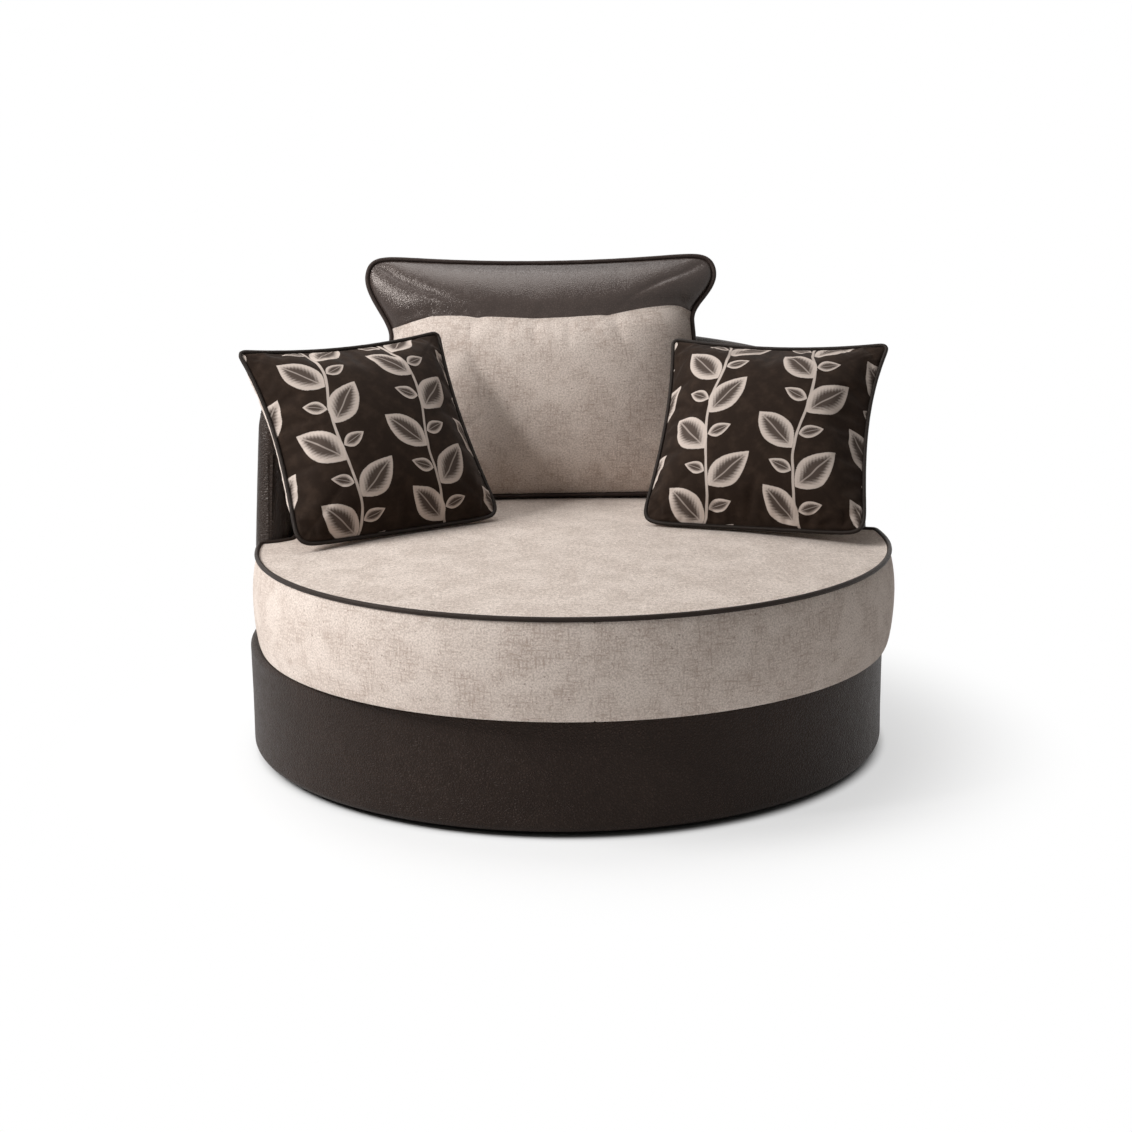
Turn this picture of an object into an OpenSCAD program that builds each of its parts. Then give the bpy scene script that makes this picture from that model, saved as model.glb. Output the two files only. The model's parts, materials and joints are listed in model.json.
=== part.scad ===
// Round swivel chair with a drum base, a wrapped back, a boxed seat cushion,
// a loose back cushion and two scatter pillows.
// Millimetres. The origin is on the swivel axis at floor level, +Z is up and
// the sitter faces -Y.

/* [Drum] */
// Radius of the drum over its leather
drum_radius = 585; // [560:1:620]
// Height of the floor gap under the drum
floor_gap = 10; // [9:0.5:12]
// Height of the top of the drum frame above the floor
frame_top = 204; // [190:1:230]
// Thickness of the rings cut from board
ring_board = 18; // [15:1:22]
// Thickness of the bottom ring
bottom_ring_board = 15; // [12:1:18]
// Radial width of the bottom ring
bottom_ring_width = 100; // [80:1:110]
// Radial width of the top ring
top_ring_width = 122; // [110:1:140]
// Thickness of the bent board round the drum
drum_board = 3; // [2.5:0.5:4]
// Thickness of the foam round the drum
drum_foam_thickness = 7.4; // [5:0.2:10]
// Number of posts between the rings
drum_post_count = 12; // [12:1:12]
// Side of a square drum post
drum_post_side = 40; // [30:1:44]
// Radius of the rounded edges of the drum leather
drum_edge = 9; // [5:1:12]
// Width of the leather turned over the top and the bottom
leather_turn = 34; // [25:1:36]

/* [Swivel] */
// Radius of the plinth board that stands on the floor
plinth_radius = 380; // [340:1:430]
// Thickness of the plinth board
plinth_board_thickness = 18; // [15:1:18]
// Height of a floor glide
glide_height = 8; // [7:0.5:8]
// Diameter of a floor glide
glide_diameter = 40; // [30:1:50]
// Number of glides round the rim of the plinth
glide_count = 8; // [6:1:12]
// Distance from the rim of the plinth to the glides
glide_inset = 40; // [30:1:60]
// Diameter of the nail of a glide
glide_nail = 5; // [4:0.5:6]
// Side of the square swivel plates
plate_side = 300; // [290:1:310]
// Thickness of a swivel plate
plate_thickness = 2.5; // [2:0.1:3]
// Radius of the ball track
track_radius = 110; // [100:1:112]
// Radius of a bearing ball
ball_radius = 4; // [3.5:0.1:4.5]
// Number of bearing balls
ball_count = 36; // [24:1:40]
// Running clearance of the balls in their tracks
track_clearance = 0.06; // [0.03:0.01:0.1]
// Radial width of each race
race_width = 11; // [9:0.5:12]
// Height of the ball cage and the races
race_height = 12; // [11:0.5:13]
// Gap between each race and the other plate
race_gap = 1; // [0.8:0.1:1.5]
// Distance of the fixings from the middle of a plate
fixing_offset = 130; // [125:1:134]
// Radius of the shank of a fixing
fixing_radius = 3; // [2.5:0.1:3.5]
// Width of a cross rail
rail_width = 60; // [50:1:70]
// Height of a cross rail
rail_height = 45; // [40:1:60]

/* [Deck] */
// Number of webbing straps each way
strap_count = 5; // [3:1:6]
// Width of a webbing strap
strap_width = 60; // [50:1:70]
// Thickness of a webbing strap
strap_thickness = 1.6; // [1.2:0.1:2]
// Thickness of the deck cloth
deck_cloth_thickness = 1; // [0.8:0.1:1.5]

/* [Covers] */
// Thickness of the leather
leather = 1.4; // [1:0.1:1.6]
// Thickness of the chenille and the print
cloth = 1.6; // [1.2:0.1:1.8]
// Radius of the piping cord with its cover
piping_radius = 4.5; // [3.5:0.1:5]
// Clearance between pieces that lie on each other
rest_gap = 0.3; // [0.2:0.05:0.5]

/* [Seat cushion] */
// How much further the front lobe reaches from its middle than the drum
seat_overhang = 0; // [-25:1:15]
// Height of the seat piping above the floor
seat_edge_height = 375; // [350:1:400]
// Rise of the seat from its edge to its middle
seat_crown = 22; // [10:1:35]
// How far the front lobe stands forward of the drum
seat_forward = 45; // [30:1:55]
// How far the front lobe lies to the side
seat_sideways = 10; // [0:1:12]
// How far the border swells past its seams
border_swell = 12; // [6:1:16]

/* [Back shell] */
// How far the shell stands in from the leather of the drum
shell_setback = 5; // [1:1:20]
// Thickness of the shell wall over its leather
shell_wall = 63; // [60:1:66]
// Rise of the shell's sides above the seat piping, as a share of its inner radius
shell_rise = 0.505; // [0.44:0.005:0.58]
// Rise of the top edge per millimetre towards the rear
shell_slope = 0.12; // [0.05:0.01:0.15]
// Angle from the rear to the front end of a wing
wing_angle = 88; // [86:0.5:88]
// How far the front edge of a wing leans back per millimetre of height
wing_lean = 0.2; // [0.1:0.01:0.3]
// Radius of the top corner of a wing, as a share of the shell's inner radius
wing_corner_share = 0.213; // [0.16:0.001:0.25]
// How much the outer face draws in towards the top
shell_taper = 5; // [0:1:6]
// Thickness of the foam inside the shell
inner_foam = 8; // [6:1:9]
// Number of full height posts in the shell
shell_post_count = 7; // [5:2:7]

/* [Back cushion] */
// The sizes and places called shares are shares of the inner radius of the shell
// Height of the back cushion along its lean, as a share
back_height_share = 0.9323; // [0.89:0.0001:0.965]
// Half width over the piping at the ears, as a share
back_ear_share = 0.6908; // [0.66:0.0001:0.71]
// Half width over the piping at the narrowest place, as a share
back_waist_share = 0.5963; // [0.57:0.0001:0.605]
// Half width over the piping of the lower part, as a share
back_lower_share = 0.6137; // [0.59:0.0001:0.625]
// Place of the narrowest part, as a share of the height of the cushion
back_waist_place = 0.6846; // [0.63:0.0001:0.72]
// Lean of the back cushion from upright, in degrees
back_lean = 18.5; // [16:0.5:20]
// Turn of the back cushion about the vertical, in degrees
back_turn = -2; // [-3:0.5:3]
// Distance of the bottom seam behind the swivel axis, as a share
back_distance_share = 0.5803; // [0.552:0.0001:0.585]
// Sideways place of the back cushion, as a share
back_sideways_share = -0.0368; // [-0.038:0.0001:0.009]
// Fullness of the front face, as a share
back_front_share = 0.1837; // [0.155:0.0001:0.212]
// Fullness of the rear face, as a share
back_rear_share = 0.2418; // [0.175:0.0001:0.251]
// Share of the height that lies below the head seam
head_seam = 0.72; // [0.68:0.01:0.76]
// Depth of the channel that the head seam pulls in
head_channel = 12; // [0:1:20]
// How far the top edge dips between the ears, as a share
back_dip_share = 0.0329; // [0.016:0.0001:0.048]

/* [Scatter pillows] */
// Width of a pillow over its piping, as a share of the shell's inner radius
pillow_width_share = 0.8252; // [0.802:0.0001:0.84]
// Height of a slumped pillow over its piping, as a share
pillow_height_share = 0.7865; // [0.764:0.0001:0.801]
// Fullness of each face of a pillow, as a share
pillow_fullness_share = 0.1426; // [0.1:0.0001:0.146]
// How far each side draws in between its corners, as a share
pillow_draw_share = 0.0213; // [0.008:0.0001:0.03]
// Left pillow, seen by the camera: sideways place, as a share
left_x_share = -0.6886; // [-0.6886:0.0001:-0.658]
// Left pillow: place from front to rear, as a share
left_y_share = 0.1431; // [0.078:0.0001:0.1431]
// Left pillow: turn about the vertical, in degrees
left_turn = 26.5; // [24:0.5:29]
// Left pillow: lean from upright, in degrees
left_lean = 34.3; // [32:0.1:36]
// Left pillow: roll in its own plane, in degrees
left_roll = 1.5; // [0:0.1:3]
// Right pillow: sideways place, as a share
right_x_share = 0.729; // [0.708:0.0001:0.7291]
// Right pillow: place from front to rear, as a share
right_y_share = 0.0638; // [0.02:0.0001:0.0638]
// Right pillow: turn about the vertical, in degrees
right_turn = -21; // [-23:0.5:-19]
// Right pillow: lean from upright, in degrees
right_lean = 37.6; // [36:0.1:39]
// Right pillow: roll in its own plane, in degrees
right_roll = 0; // [-1:0.1:1]

/* [Zips] */
// Length of the zip of a pillow
pillow_zip_length = 300; // [250:1:320]
// Length of the zip of the back cushion
back_zip_length = 460; // [400:1:500]
// Angle that the zip of the seat cushion spans
seat_zip_angle = 110; // [90:1:130]
// Width of a zip
zip_width = 6; // [5:0.5:7]
// Thickness of a zip
zip_thickness = 1.2; // [1:0.1:1.4]
// Length of a zip slider
slider_length = 9; // [8:0.5:12]
// Thickness of a zip slider
slider_thickness = 1.8; // [1.5:0.1:2.2]

/* [Hidden] */
$fn = 64;

brown_leather = [0.20, 0.17, 0.155];
cream_chenille = [0.80, 0.74, 0.69];
dark_print = [0.17, 0.13, 0.11];
piping_brown = [0.16, 0.14, 0.13];
plywood = [0.78, 0.64, 0.45];
timber = [0.80, 0.68, 0.50];
zinc = [0.68, 0.69, 0.71];
polished_steel = [0.78, 0.79, 0.80];
black_plastic = [0.10, 0.10, 0.10];
foam_cream = [0.93, 0.90, 0.78];
webbing_tan = [0.42, 0.36, 0.30];
black_cloth = [0.12, 0.12, 0.12];

// Heights of the swivel, from the floor up
plinth_top = glide_height + plinth_board_thickness;
lower_plate_top = plinth_top + plate_thickness;
upper_plate_bottom = lower_plate_top + race_height + race_gap;
upper_plate_top = upper_plate_bottom + plate_thickness;
track_height = lower_plate_top + (race_height + race_gap) / 2;
screw_head_height = 2.5;
screw_head_radius = 5;
screw_depth = 14;
bolt_head_height = 3;
bolt_depth = 35;
fixing_clearance = 0.1;
nail_depth = 14;
cage_thickness = 1.2;
cage_clearance = 0.15;
cage_rim = 1;

// Radii of the drum, from the outside in
foam_radius = drum_radius - leather - rest_gap;
panel_radius = foam_radius - drum_foam_thickness - rest_gap;
frame_radius = panel_radius - drum_board - rest_gap;
top_ring_bottom = frame_top - ring_board;
leather_top = frame_top + leather;
drum_post_inset = 7;
drum_post_radius = frame_radius - drum_post_inset - drum_post_side / 2;
bottom_ring_low = upper_plate_top - bottom_ring_board;
dust_cloth = 1;
dust_hole_margin = 12;

// Heights of the deck
crosswise_bottom = frame_top + strap_thickness;
deck_bottom = crosswise_bottom + strap_thickness;
deck_top = deck_bottom + deck_cloth_thickness;

// Shell walls
shell_radius = drum_radius - shell_setback;
shell_inner = shell_radius - shell_wall;
shell_side_height = seat_edge_height + shell_rise * shell_inner;
wing_corner = wing_corner_share * shell_inner;
shell_bottom = leather_top + rest_gap;
shell_middle = shell_radius - shell_wall / 2;
shell_frame_width = 25;
inner_panel_radius = shell_inner + leather + inner_foam + 2 * rest_gap;
shell_frame_inner = inner_panel_radius + drum_board;
shell_frame_outer = shell_frame_inner + shell_frame_width;
outer_panel_radius = shell_frame_outer + drum_board;
facet_room = 1.2;
board_gap = 0.7;
lean_start = seat_edge_height;
lean_fade = shell_inner / 2;
full_frame_angle = 65;
short_frame_angle = 74;
short_post_height = shell_side_height - wing_corner - 6;
shell_post_angle = 5;
frame_drop = 29;
rail_drop = 21;
rail_thickness = 22;
shell_bolt_count = 6;
shell_bolt = 4;
shell_bolt_radius = (shell_frame_inner + shell_frame_outer) / 2;
deck_inset = 5;
deck_lap = 10;
strap_radius = shell_inner - deck_inset;
strap_spread = 0.7325;
strap_spacing = 2 * strap_radius * strap_spread / strap_count;
slab_reach = 1.2 * shell_radius;
top_foam = 13;
end_flat = 1.5;
wing_corner_end = wing_corner + 5;
seat_zip_rise = 16;
wing_rail_inset = 6;
end_post_inset = 3;
crown_blend = 60;

// Seat cushion
seat_radius = drum_radius + seat_overhang;
seat_bottom = deck_top + rest_gap;
rear_swell_radius = shell_inner - facet_room - rest_gap;
seat_centre = [seat_sideways, -seat_forward];
flank_start = wing_angle - 0.7;
flank_end = wing_angle + 2.3;
seat_levels = [0, 0.15, 0.5, 0.85, 1];
seat_rings = [1, 0.88, 0.55];
half_angles = concat(
    [for (a = [0 : 7.5 : 82.5]) a],
    [for (k = [0 : 3]) flank_start + (flank_end - flank_start) * k / 3],
    [for (a = [97.5 : 7.5 : 172.5]) a]
);
seat_angles = concat(
    half_angles, [180],
    [for (k = [len(half_angles) - 1 : -1 : 1]) -half_angles[k]]
);

// Sizes of the loose cushions
seam_gap = rest_gap / 2;
piping_reach = piping_radius + rest_gap;
over_piping = piping_reach + piping_radius;
face_skin = cloth + seam_gap;
back_height = back_height_share * shell_inner;
back_ear = back_ear_share * shell_inner - over_piping;
back_waist = back_waist_share * shell_inner - over_piping;
back_lower = back_lower_share * shell_inner - over_piping;
back_waist_height = back_waist_place * back_height;
back_distance = back_distance_share * shell_inner;
back_sideways = back_sideways_share * shell_inner;
back_front_fullness = back_front_share * shell_inner;
back_rear_fullness = back_rear_share * shell_inner;
back_top_dip = back_dip_share * shell_inner;
pillow_width = pillow_width_share * shell_inner - 2 * over_piping;
pillow_height = pillow_height_share * shell_inner - 2 * over_piping;
pillow_fullness = pillow_fullness_share * shell_inner - face_skin;
pillow_draw = pillow_draw_share * shell_inner;

// Grids of the loose cushions: fine near the seams, where the faces turn most
head_v = 2 * head_seam - 1;
back_columns = eased(-1, 1, 12);
front_rows = eased(-1, head_v, 8);
head_rows = eased(head_v, 1, 5);
back_rows = concat(front_rows, [for (k = [1 : 5]) head_rows[k]]);
pillow_steps = eased(-1, 1, 10);
corner_power = 16;
fill_share = 0.994;
zip_top = 0.5;
slider_pull = 14;
pull_thickness = 0.8;

// Stations along a wing, as distances from its front end
wing_arc = shell_middle * wing_angle * PI / 180;
wing_stations = concat(
    [for (k = [0, 0.16, 0.45, 0.76]) k * shell_wall / 2],
    [for (k = [0.35, 0.54, 0.75, 1]) k * wing_corner_end]
);
rear_station_count = 12;

// Curves and places

function smooth(t) = let (k = min(1, max(0, t))) k * k * (3 - 2 * k);

function eased(a, b, n) = [for (k = [0 : n]) a + (b - a) * (1 - cos(180 * k / n)) / 2];

function arc(centre, r, from, to, n = 5) =
    [for (k = [0 : n]) let (a = from + (to - from) * k / n) centre + r * [cos(a), sin(a)]];

// A point of a leaning piece: roll in its plane, lean back, then turn
function lean_place(p, turn, lean, roll, at) =
    let (x = p[0] * cos(roll) - p[1] * sin(roll),
         y = p[0] * sin(roll) + p[1] * cos(roll),
         rear = y * sin(lean) - p[2] * cos(lean),
         up = y * cos(lean) + p[2] * sin(lean))
    at + [x * cos(turn) - rear * sin(turn), x * sin(turn) + rear * cos(turn), up];

module leaning(turn, lean, roll, at) {
    translate(at) rotate([0, 0, turn]) rotate([90 - lean, 0, 0]) rotate([0, 0, roll]) children();
}

// Solids from rings and grids of points

function joined(rows) = [for (row = rows) for (p = row) p];

function ring_faces(n, m, wrap) =
    [for (j = [0 : m - (wrap ? 1 : 2)], i = [0 : n - 1])
        let (a = j * n + i, b = j * n + (i + 1) % n,
             c = ((j + 1) % m) * n + i, d = ((j + 1) % m) * n + (i + 1) % n)
        each [[a, c, d], [a, d, b]]];

// A closed skin through rings, from the tip under the first to the tip over the last
module capped_rings(first_tip, rings, last_tip) {
    n = len(rings[0]);
    m = len(rings);
    polyhedron(
        points = concat(joined(rings), [first_tip, last_tip]),
        faces = concat(
            ring_faces(n, m, false),
            [for (i = [0 : n - 1]) [n * m, i, (i + 1) % n]],
            [for (i = [0 : n - 1])
                [n * m + 1, (m - 1) * n + (i + 1) % n, (m - 1) * n + i]]
        )
    );
}

// A closed band through rings that return to the first
module looped_rings(rings) {
    polyhedron(points = joined(rings), faces = ring_faces(len(rings[0]), len(rings), true));
}

// A solid between two grids of the same size, the first on the +Z side
module slab(top, bottom) {
    m = len(top);
    n = len(top[0]);
    under = m * n;
    function at(j, i) = j * n + i;
    function two(a, b, c, d) = [[a, b, c], [a, c, d]];
    polyhedron(
        points = concat(joined(top), joined(bottom)),
        faces = concat(
            [for (j = [0 : m - 2], i = [0 : n - 2])
                each two(at(j, i), at(j + 1, i), at(j + 1, i + 1), at(j, i + 1))],
            [for (j = [0 : m - 2], i = [0 : n - 2])
                each two(under + at(j, i), under + at(j, i + 1),
                    under + at(j + 1, i + 1), under + at(j + 1, i))],
            [for (i = [0 : n - 2])
                each two(under + at(0, i), at(0, i), at(0, i + 1), under + at(0, i + 1))],
            [for (i = [0 : n - 2])
                each two(under + at(m - 1, i + 1), at(m - 1, i + 1),
                    at(m - 1, i), under + at(m - 1, i))],
            [for (j = [0 : m - 2])
                each two(under + at(j + 1, 0), at(j + 1, 0), at(j, 0), under + at(j, 0))],
            [for (j = [0 : m - 2])
                each two(under + at(j, n - 1), at(j, n - 1),
                    at(j + 1, n - 1), under + at(j + 1, n - 1))]
        )
    );
}

// A hollow arched wall through two rows of profiles, open underneath
module hood(outer, inner) {
    n = len(outer);
    m = len(outer[0]);
    in = n * m;
    last = n - 1;
    function at(i, j) = i * m + j;
    function two(a, b, c, d) = [[a, b, c], [a, c, d]];
    polyhedron(
        points = concat(joined(outer), joined(inner)),
        faces = concat(
            [for (i = [0 : n - 2], j = [0 : m - 2])
                each two(at(i, j), at(i, j + 1), at(i + 1, j + 1), at(i + 1, j))],
            [for (i = [0 : n - 2], j = [0 : m - 2])
                each two(in + at(i, j), in + at(i + 1, j), in + at(i + 1, j + 1), in + at(i, j + 1))],
            [for (i = [0 : n - 2])
                each two(at(i, 0), at(i + 1, 0), in + at(i + 1, 0), in + at(i, 0))],
            [for (i = [0 : n - 2])
                each two(at(i + 1, m - 1), at(i, m - 1), in + at(i, m - 1), in + at(i + 1, m - 1))],
            [for (j = [0 : m / 2 - 2])
                each two(at(0, j + 1), at(0, j), at(0, m - 1 - j), at(0, m - 2 - j))],
            [for (j = [0 : m / 2 - 2])
                each two(in + at(0, j), in + at(0, j + 1),
                    in + at(0, m - 2 - j), in + at(0, m - 1 - j))],
            two(at(0, m - 1), at(0, 0), in + at(0, 0), in + at(0, m - 1)),
            [for (j = [0 : m / 2 - 2])
                each two(at(last, j), at(last, j + 1), at(last, m - 2 - j), at(last, m - 1 - j))],
            [for (j = [0 : m / 2 - 2])
                each two(in + at(last, j + 1), in + at(last, j),
                    in + at(last, m - 1 - j), in + at(last, m - 2 - j))],
            two(at(last, 0), at(last, m - 1), in + at(last, m - 1), in + at(last, 0))
        )
    );
}

module ring(r_in, r_out, z_low, z_high) {
    rotate_extrude() translate([r_in, z_low]) square([r_out - r_in, z_high - z_low]);
}

// Part of a ring, centred on the direction that lies turn degrees from the rear
module sector(r_in, r_out, z_low, z_high, half_angle, turn = 0) {
    rotate([0, 0, 90 - half_angle - turn])
        rotate_extrude(angle = 2 * half_angle)
            translate([r_in, z_low]) square([r_out - r_in, z_high - z_low]);
}

module at_corners(d) {
    for (x = [-d, d], y = [-d, d]) translate([x, y, 0]) children();
}

// Base that stands on the floor

module glide_places() {
    children();
    for (k = [0 : glide_count - 1])
        rotate([0, 0, 360 * k / glide_count]) translate([plinth_radius - glide_inset, 0, 0]) children();
}

module glides() {
    color(black_plastic) glide_places() {
        cylinder(r = glide_diameter / 2, h = glide_height);
        cylinder(r = glide_nail / 2, h = glide_height + nail_depth);
    }
}

module plinth_board() {
    color(plywood) difference() {
        translate([0, 0, glide_height]) cylinder(r = plinth_radius, h = plinth_board_thickness);
        glide_places() translate([0, 0, glide_height - 1])
            cylinder(r = glide_nail / 2 + fixing_clearance / 2, h = nail_depth + 1.3);
        at_corners(fixing_offset) translate([0, 0, plinth_top - screw_depth - rest_gap])
            cylinder(r = fixing_radius + fixing_clearance / 2, h = screw_depth + 1);
    }
}

module ball_track() {
    rotate_extrude() translate([track_radius, track_height])
        circle(r = ball_radius + track_clearance);
}

module swivel_lower_plate() {
    color(zinc) difference() {
        union() {
            translate([-plate_side / 2, -plate_side / 2, plinth_top])
                cube([plate_side, plate_side, plate_thickness]);
            ring(track_radius - race_gap - race_width, track_radius - race_gap,
                plinth_top, lower_plate_top + race_height);
        }
        ball_track();
        at_corners(fixing_offset) translate([0, 0, plinth_top - 1])
            cylinder(r = fixing_radius + fixing_clearance, h = plate_thickness + 2);
    }
}

module lower_plate_screws() {
    color(polished_steel) at_corners(fixing_offset) {
        translate([0, 0, lower_plate_top]) cylinder(r = screw_head_radius, h = screw_head_height);
        translate([0, 0, plinth_top - screw_depth])
            cylinder(r = fixing_radius, h = screw_depth + plate_thickness + 1);
    }
}

// Bearing

module swivel_balls() {
    color(polished_steel) for (k = [0 : ball_count - 1])
        rotate([0, 0, 360 * k / ball_count]) translate([track_radius, 0, track_height])
            sphere(r = ball_radius);
}

module ball_cage() {
    color(black_plastic) difference() {
        ring(track_radius - cage_thickness / 2, track_radius + cage_thickness / 2,
            lower_plate_top + cage_rim, lower_plate_top + race_height);
        for (k = [0 : ball_count - 1])
            rotate([0, 0, 360 * k / ball_count])
                translate([track_radius - race_width / 2, 0, track_height]) rotate([0, 90, 0])
                    cylinder(r = ball_radius + cage_clearance, h = race_width);
    }
}

// Turning frame of the drum

module swivel_upper_plate() {
    color(zinc) difference() {
        union() {
            translate([-plate_side / 2, -plate_side / 2, upper_plate_bottom])
                cube([plate_side, plate_side, plate_thickness]);
            ring(track_radius + race_gap, track_radius + race_gap + race_width,
                upper_plate_bottom - race_height, upper_plate_top);
        }
        ball_track();
        at_corners(fixing_offset) translate([0, 0, upper_plate_bottom - 1])
            cylinder(r = fixing_radius + fixing_clearance, h = plate_thickness + 2);
    }
}

module upper_plate_bolts() {
    color(polished_steel) at_corners(fixing_offset) {
        translate([0, 0, upper_plate_bottom - bolt_head_height])
            cylinder(r = screw_head_radius, h = bolt_head_height);
        translate([0, 0, upper_plate_bottom - 1])
            cylinder(r = fixing_radius, h = bolt_depth + plate_thickness + 1);
    }
}

module cross_rails() {
    reach = sqrt(pow(frame_radius - 1, 2) - pow(fixing_offset + rail_width / 2, 2));
    color(timber) difference() {
        for (side = [-1, 1])
            translate([side * fixing_offset - rail_width / 2, -reach, upper_plate_top])
                cube([rail_width, 2 * reach, rail_height]);
        at_corners(fixing_offset) translate([0, 0, upper_plate_top - 1])
            cylinder(r = fixing_radius + fixing_clearance / 2, h = bolt_depth + 1 + rest_gap);
    }
}

module bottom_ring() {
    color(plywood)
        ring(frame_radius - bottom_ring_width, frame_radius, upper_plate_top - bottom_ring_board,
            upper_plate_top);
}

module dust_cover() {
    color(black_cloth)
        ring(plate_side / sqrt(2) + dust_hole_margin, frame_radius - 20,
            bottom_ring_low - rest_gap - dust_cloth, bottom_ring_low - rest_gap);
}

module drum_posts() {
    color(timber) for (k = [0 : drum_post_count - 1])
        rotate([0, 0, 360 * k / drum_post_count])
            translate([drum_post_radius - drum_post_side / 2, -drum_post_side / 2, upper_plate_top])
                cube([drum_post_side, drum_post_side, top_ring_bottom - upper_plate_top]);
}

module shell_bolt_places() {
    for (k = [0 : shell_bolt_count - 1])
        rotate([0, 0, 90 - 150 * (k / (shell_bolt_count - 1) - 0.5)])
            translate([shell_bolt_radius, 0, 0]) children();
}

module top_ring() {
    color(plywood) difference() {
        ring(frame_radius - top_ring_width, frame_radius, top_ring_bottom, frame_top);
        shell_bolt_places() translate([0, 0, top_ring_bottom - 1])
            cylinder(r = shell_bolt + fixing_clearance, h = ring_board + 2);
    }
}

module drum_panel() {
    color(plywood)
        ring(frame_radius + rest_gap, panel_radius, floor_gap + leather + rest_gap,
            frame_top - rest_gap);
}

module drum_foam() {
    color(foam_cream)
        ring(panel_radius + rest_gap, foam_radius, floor_gap + drum_edge, leather_top - drum_edge);
}

module drum_cover() {
    low = floor_gap + drum_edge;
    high = leather_top - drum_edge;
    edge_centre = drum_radius - drum_edge;
    inner_edge = drum_edge - leather;
    color(brown_leather) rotate_extrude() polygon(concat(
        [[drum_radius - leather_turn, floor_gap]],
        arc([edge_centre, low], drum_edge, -90, 0),
        arc([edge_centre, high], drum_edge, 0, 90),
        [[drum_radius - leather_turn, leather_top],
         [drum_radius - leather_turn, leather_top - leather]],
        arc([edge_centre, high], inner_edge, 90, 0),
        arc([edge_centre, low], inner_edge, 0, -90),
        [[drum_radius - leather_turn, floor_gap + leather]]
    ));
}

// Deck under the seat cushion

module straps(z) {
    for (k = [0 : strap_count - 1]) {
        off = strap_spacing * (k - (strap_count - 1) / 2);
        reach = sqrt(pow(strap_radius, 2) - pow(abs(off) + strap_width / 2, 2));
        translate([off - strap_width / 2, -reach, z]) cube([strap_width, 2 * reach, strap_thickness]);
    }
}

module webbing_lengthwise() {
    color(webbing_tan) straps(frame_top);
}

module webbing_crosswise() {
    color(webbing_tan) rotate([0, 0, 90]) straps(crosswise_bottom);
}

module deck_cloth() {
    color(black_cloth) union() {
        translate([0, 0, deck_bottom]) cylinder(r = strap_radius, h = deck_cloth_thickness);
        sector(strap_radius - deck_inset, drum_radius - leather_turn + deck_lap, deck_bottom,
            deck_top, wing_angle - end_post_inset, 180);
    }
}

// Back shell

module tilted_slab(drop, thickness) {
    translate([0, 0, shell_side_height - drop]) rotate([atan(shell_slope), 0, 0])
        translate([-slab_reach, -slab_reach, 0])
            cube([2 * slab_reach, 2 * slab_reach, thickness]);
}

module bent_board(r_in, r_out) {
    difference() {
        union() {
            sector(r_in, r_out, shell_bottom, shell_side_height + shell_radius * shell_slope,
                full_frame_angle);
            sector(r_in, r_out, shell_bottom, short_post_height, short_frame_angle);
        }
        tilted_slab(frame_drop, shell_side_height);
    }
}

module back_bottom_rail() {
    color(plywood) difference() {
        sector(shell_frame_inner + board_gap, shell_frame_outer - board_gap, shell_bottom,
            shell_bottom + ring_board, wing_angle - wing_rail_inset);
        shell_bolt_places() translate([0, 0, shell_bottom - 1])
            cylinder(r = shell_bolt + fixing_clearance / 2, h = ring_board + 2);
    }
}

module back_posts() {
    r_in = shell_frame_inner + board_gap;
    r_out = shell_frame_outer - board_gap;
    low = shell_bottom + ring_board;
    color(timber) {
        difference() {
            for (k = [0 : shell_post_count - 1])
                sector(r_in, r_out, low, shell_side_height + shell_radius * shell_slope,
                    shell_post_angle / 2,
                    2 * (full_frame_angle - end_post_inset) * (k / (shell_post_count - 1) - 0.5));
            tilted_slab(rail_drop + rail_thickness, shell_side_height);
        }
        for (side = [-1, 1])
            sector(r_in, r_out, low, short_post_height, shell_post_angle / 2,
                side * (short_frame_angle - 1));
    }
}

module back_top_rail() {
    color(plywood) intersection() {
        sector(shell_frame_inner + board_gap, shell_frame_outer - board_gap,
            shell_side_height - shell_radius * shell_slope - rail_drop - 2 * rail_thickness,
            shell_side_height + shell_radius * shell_slope, full_frame_angle);
        tilted_slab(rail_drop + rail_thickness, rail_thickness);
    }
}

module back_inner_panel() {
    color(plywood) bent_board(inner_panel_radius, shell_frame_inner);
}

module back_outer_panel() {
    color(plywood) bent_board(shell_frame_outer, outer_panel_radius);
}

module back_frame_bolts() {
    color(polished_steel) shell_bolt_places() {
        translate([0, 0, top_ring_bottom - shell_bolt])
            cylinder(r = shell_bolt * 1.6, h = shell_bolt);
        translate([0, 0, top_ring_bottom - 1])
            cylinder(r = shell_bolt, h = shell_bottom + ring_board - top_ring_bottom - 1);
    }
}

// Angle from the rear of a point on a wing, by its distance from the front end
function wing_phi(s, z, end) =
    let (back_off = wing_lean * max(0, z - lean_start) * max(0, 1 - s / lean_fade))
    (wing_arc - end - s - back_off) / shell_middle * 180 / PI;

function wing_top(s, end, drop) =
    let (phi = wing_phi(s, shell_side_height, end),
         inset = max(0, wing_corner - s),
         plane = shell_side_height + shell_slope * shell_middle * cos(phi))
    plane - drop - wing_corner + sqrt(pow(wing_corner, 2) - pow(inset, 2));

function stations(end) = concat(wing_stations,
    [for (k = [1 : rear_station_count])
        wing_corner_end + (wing_arc - end - wing_corner_end) * k / rear_station_count]);

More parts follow.
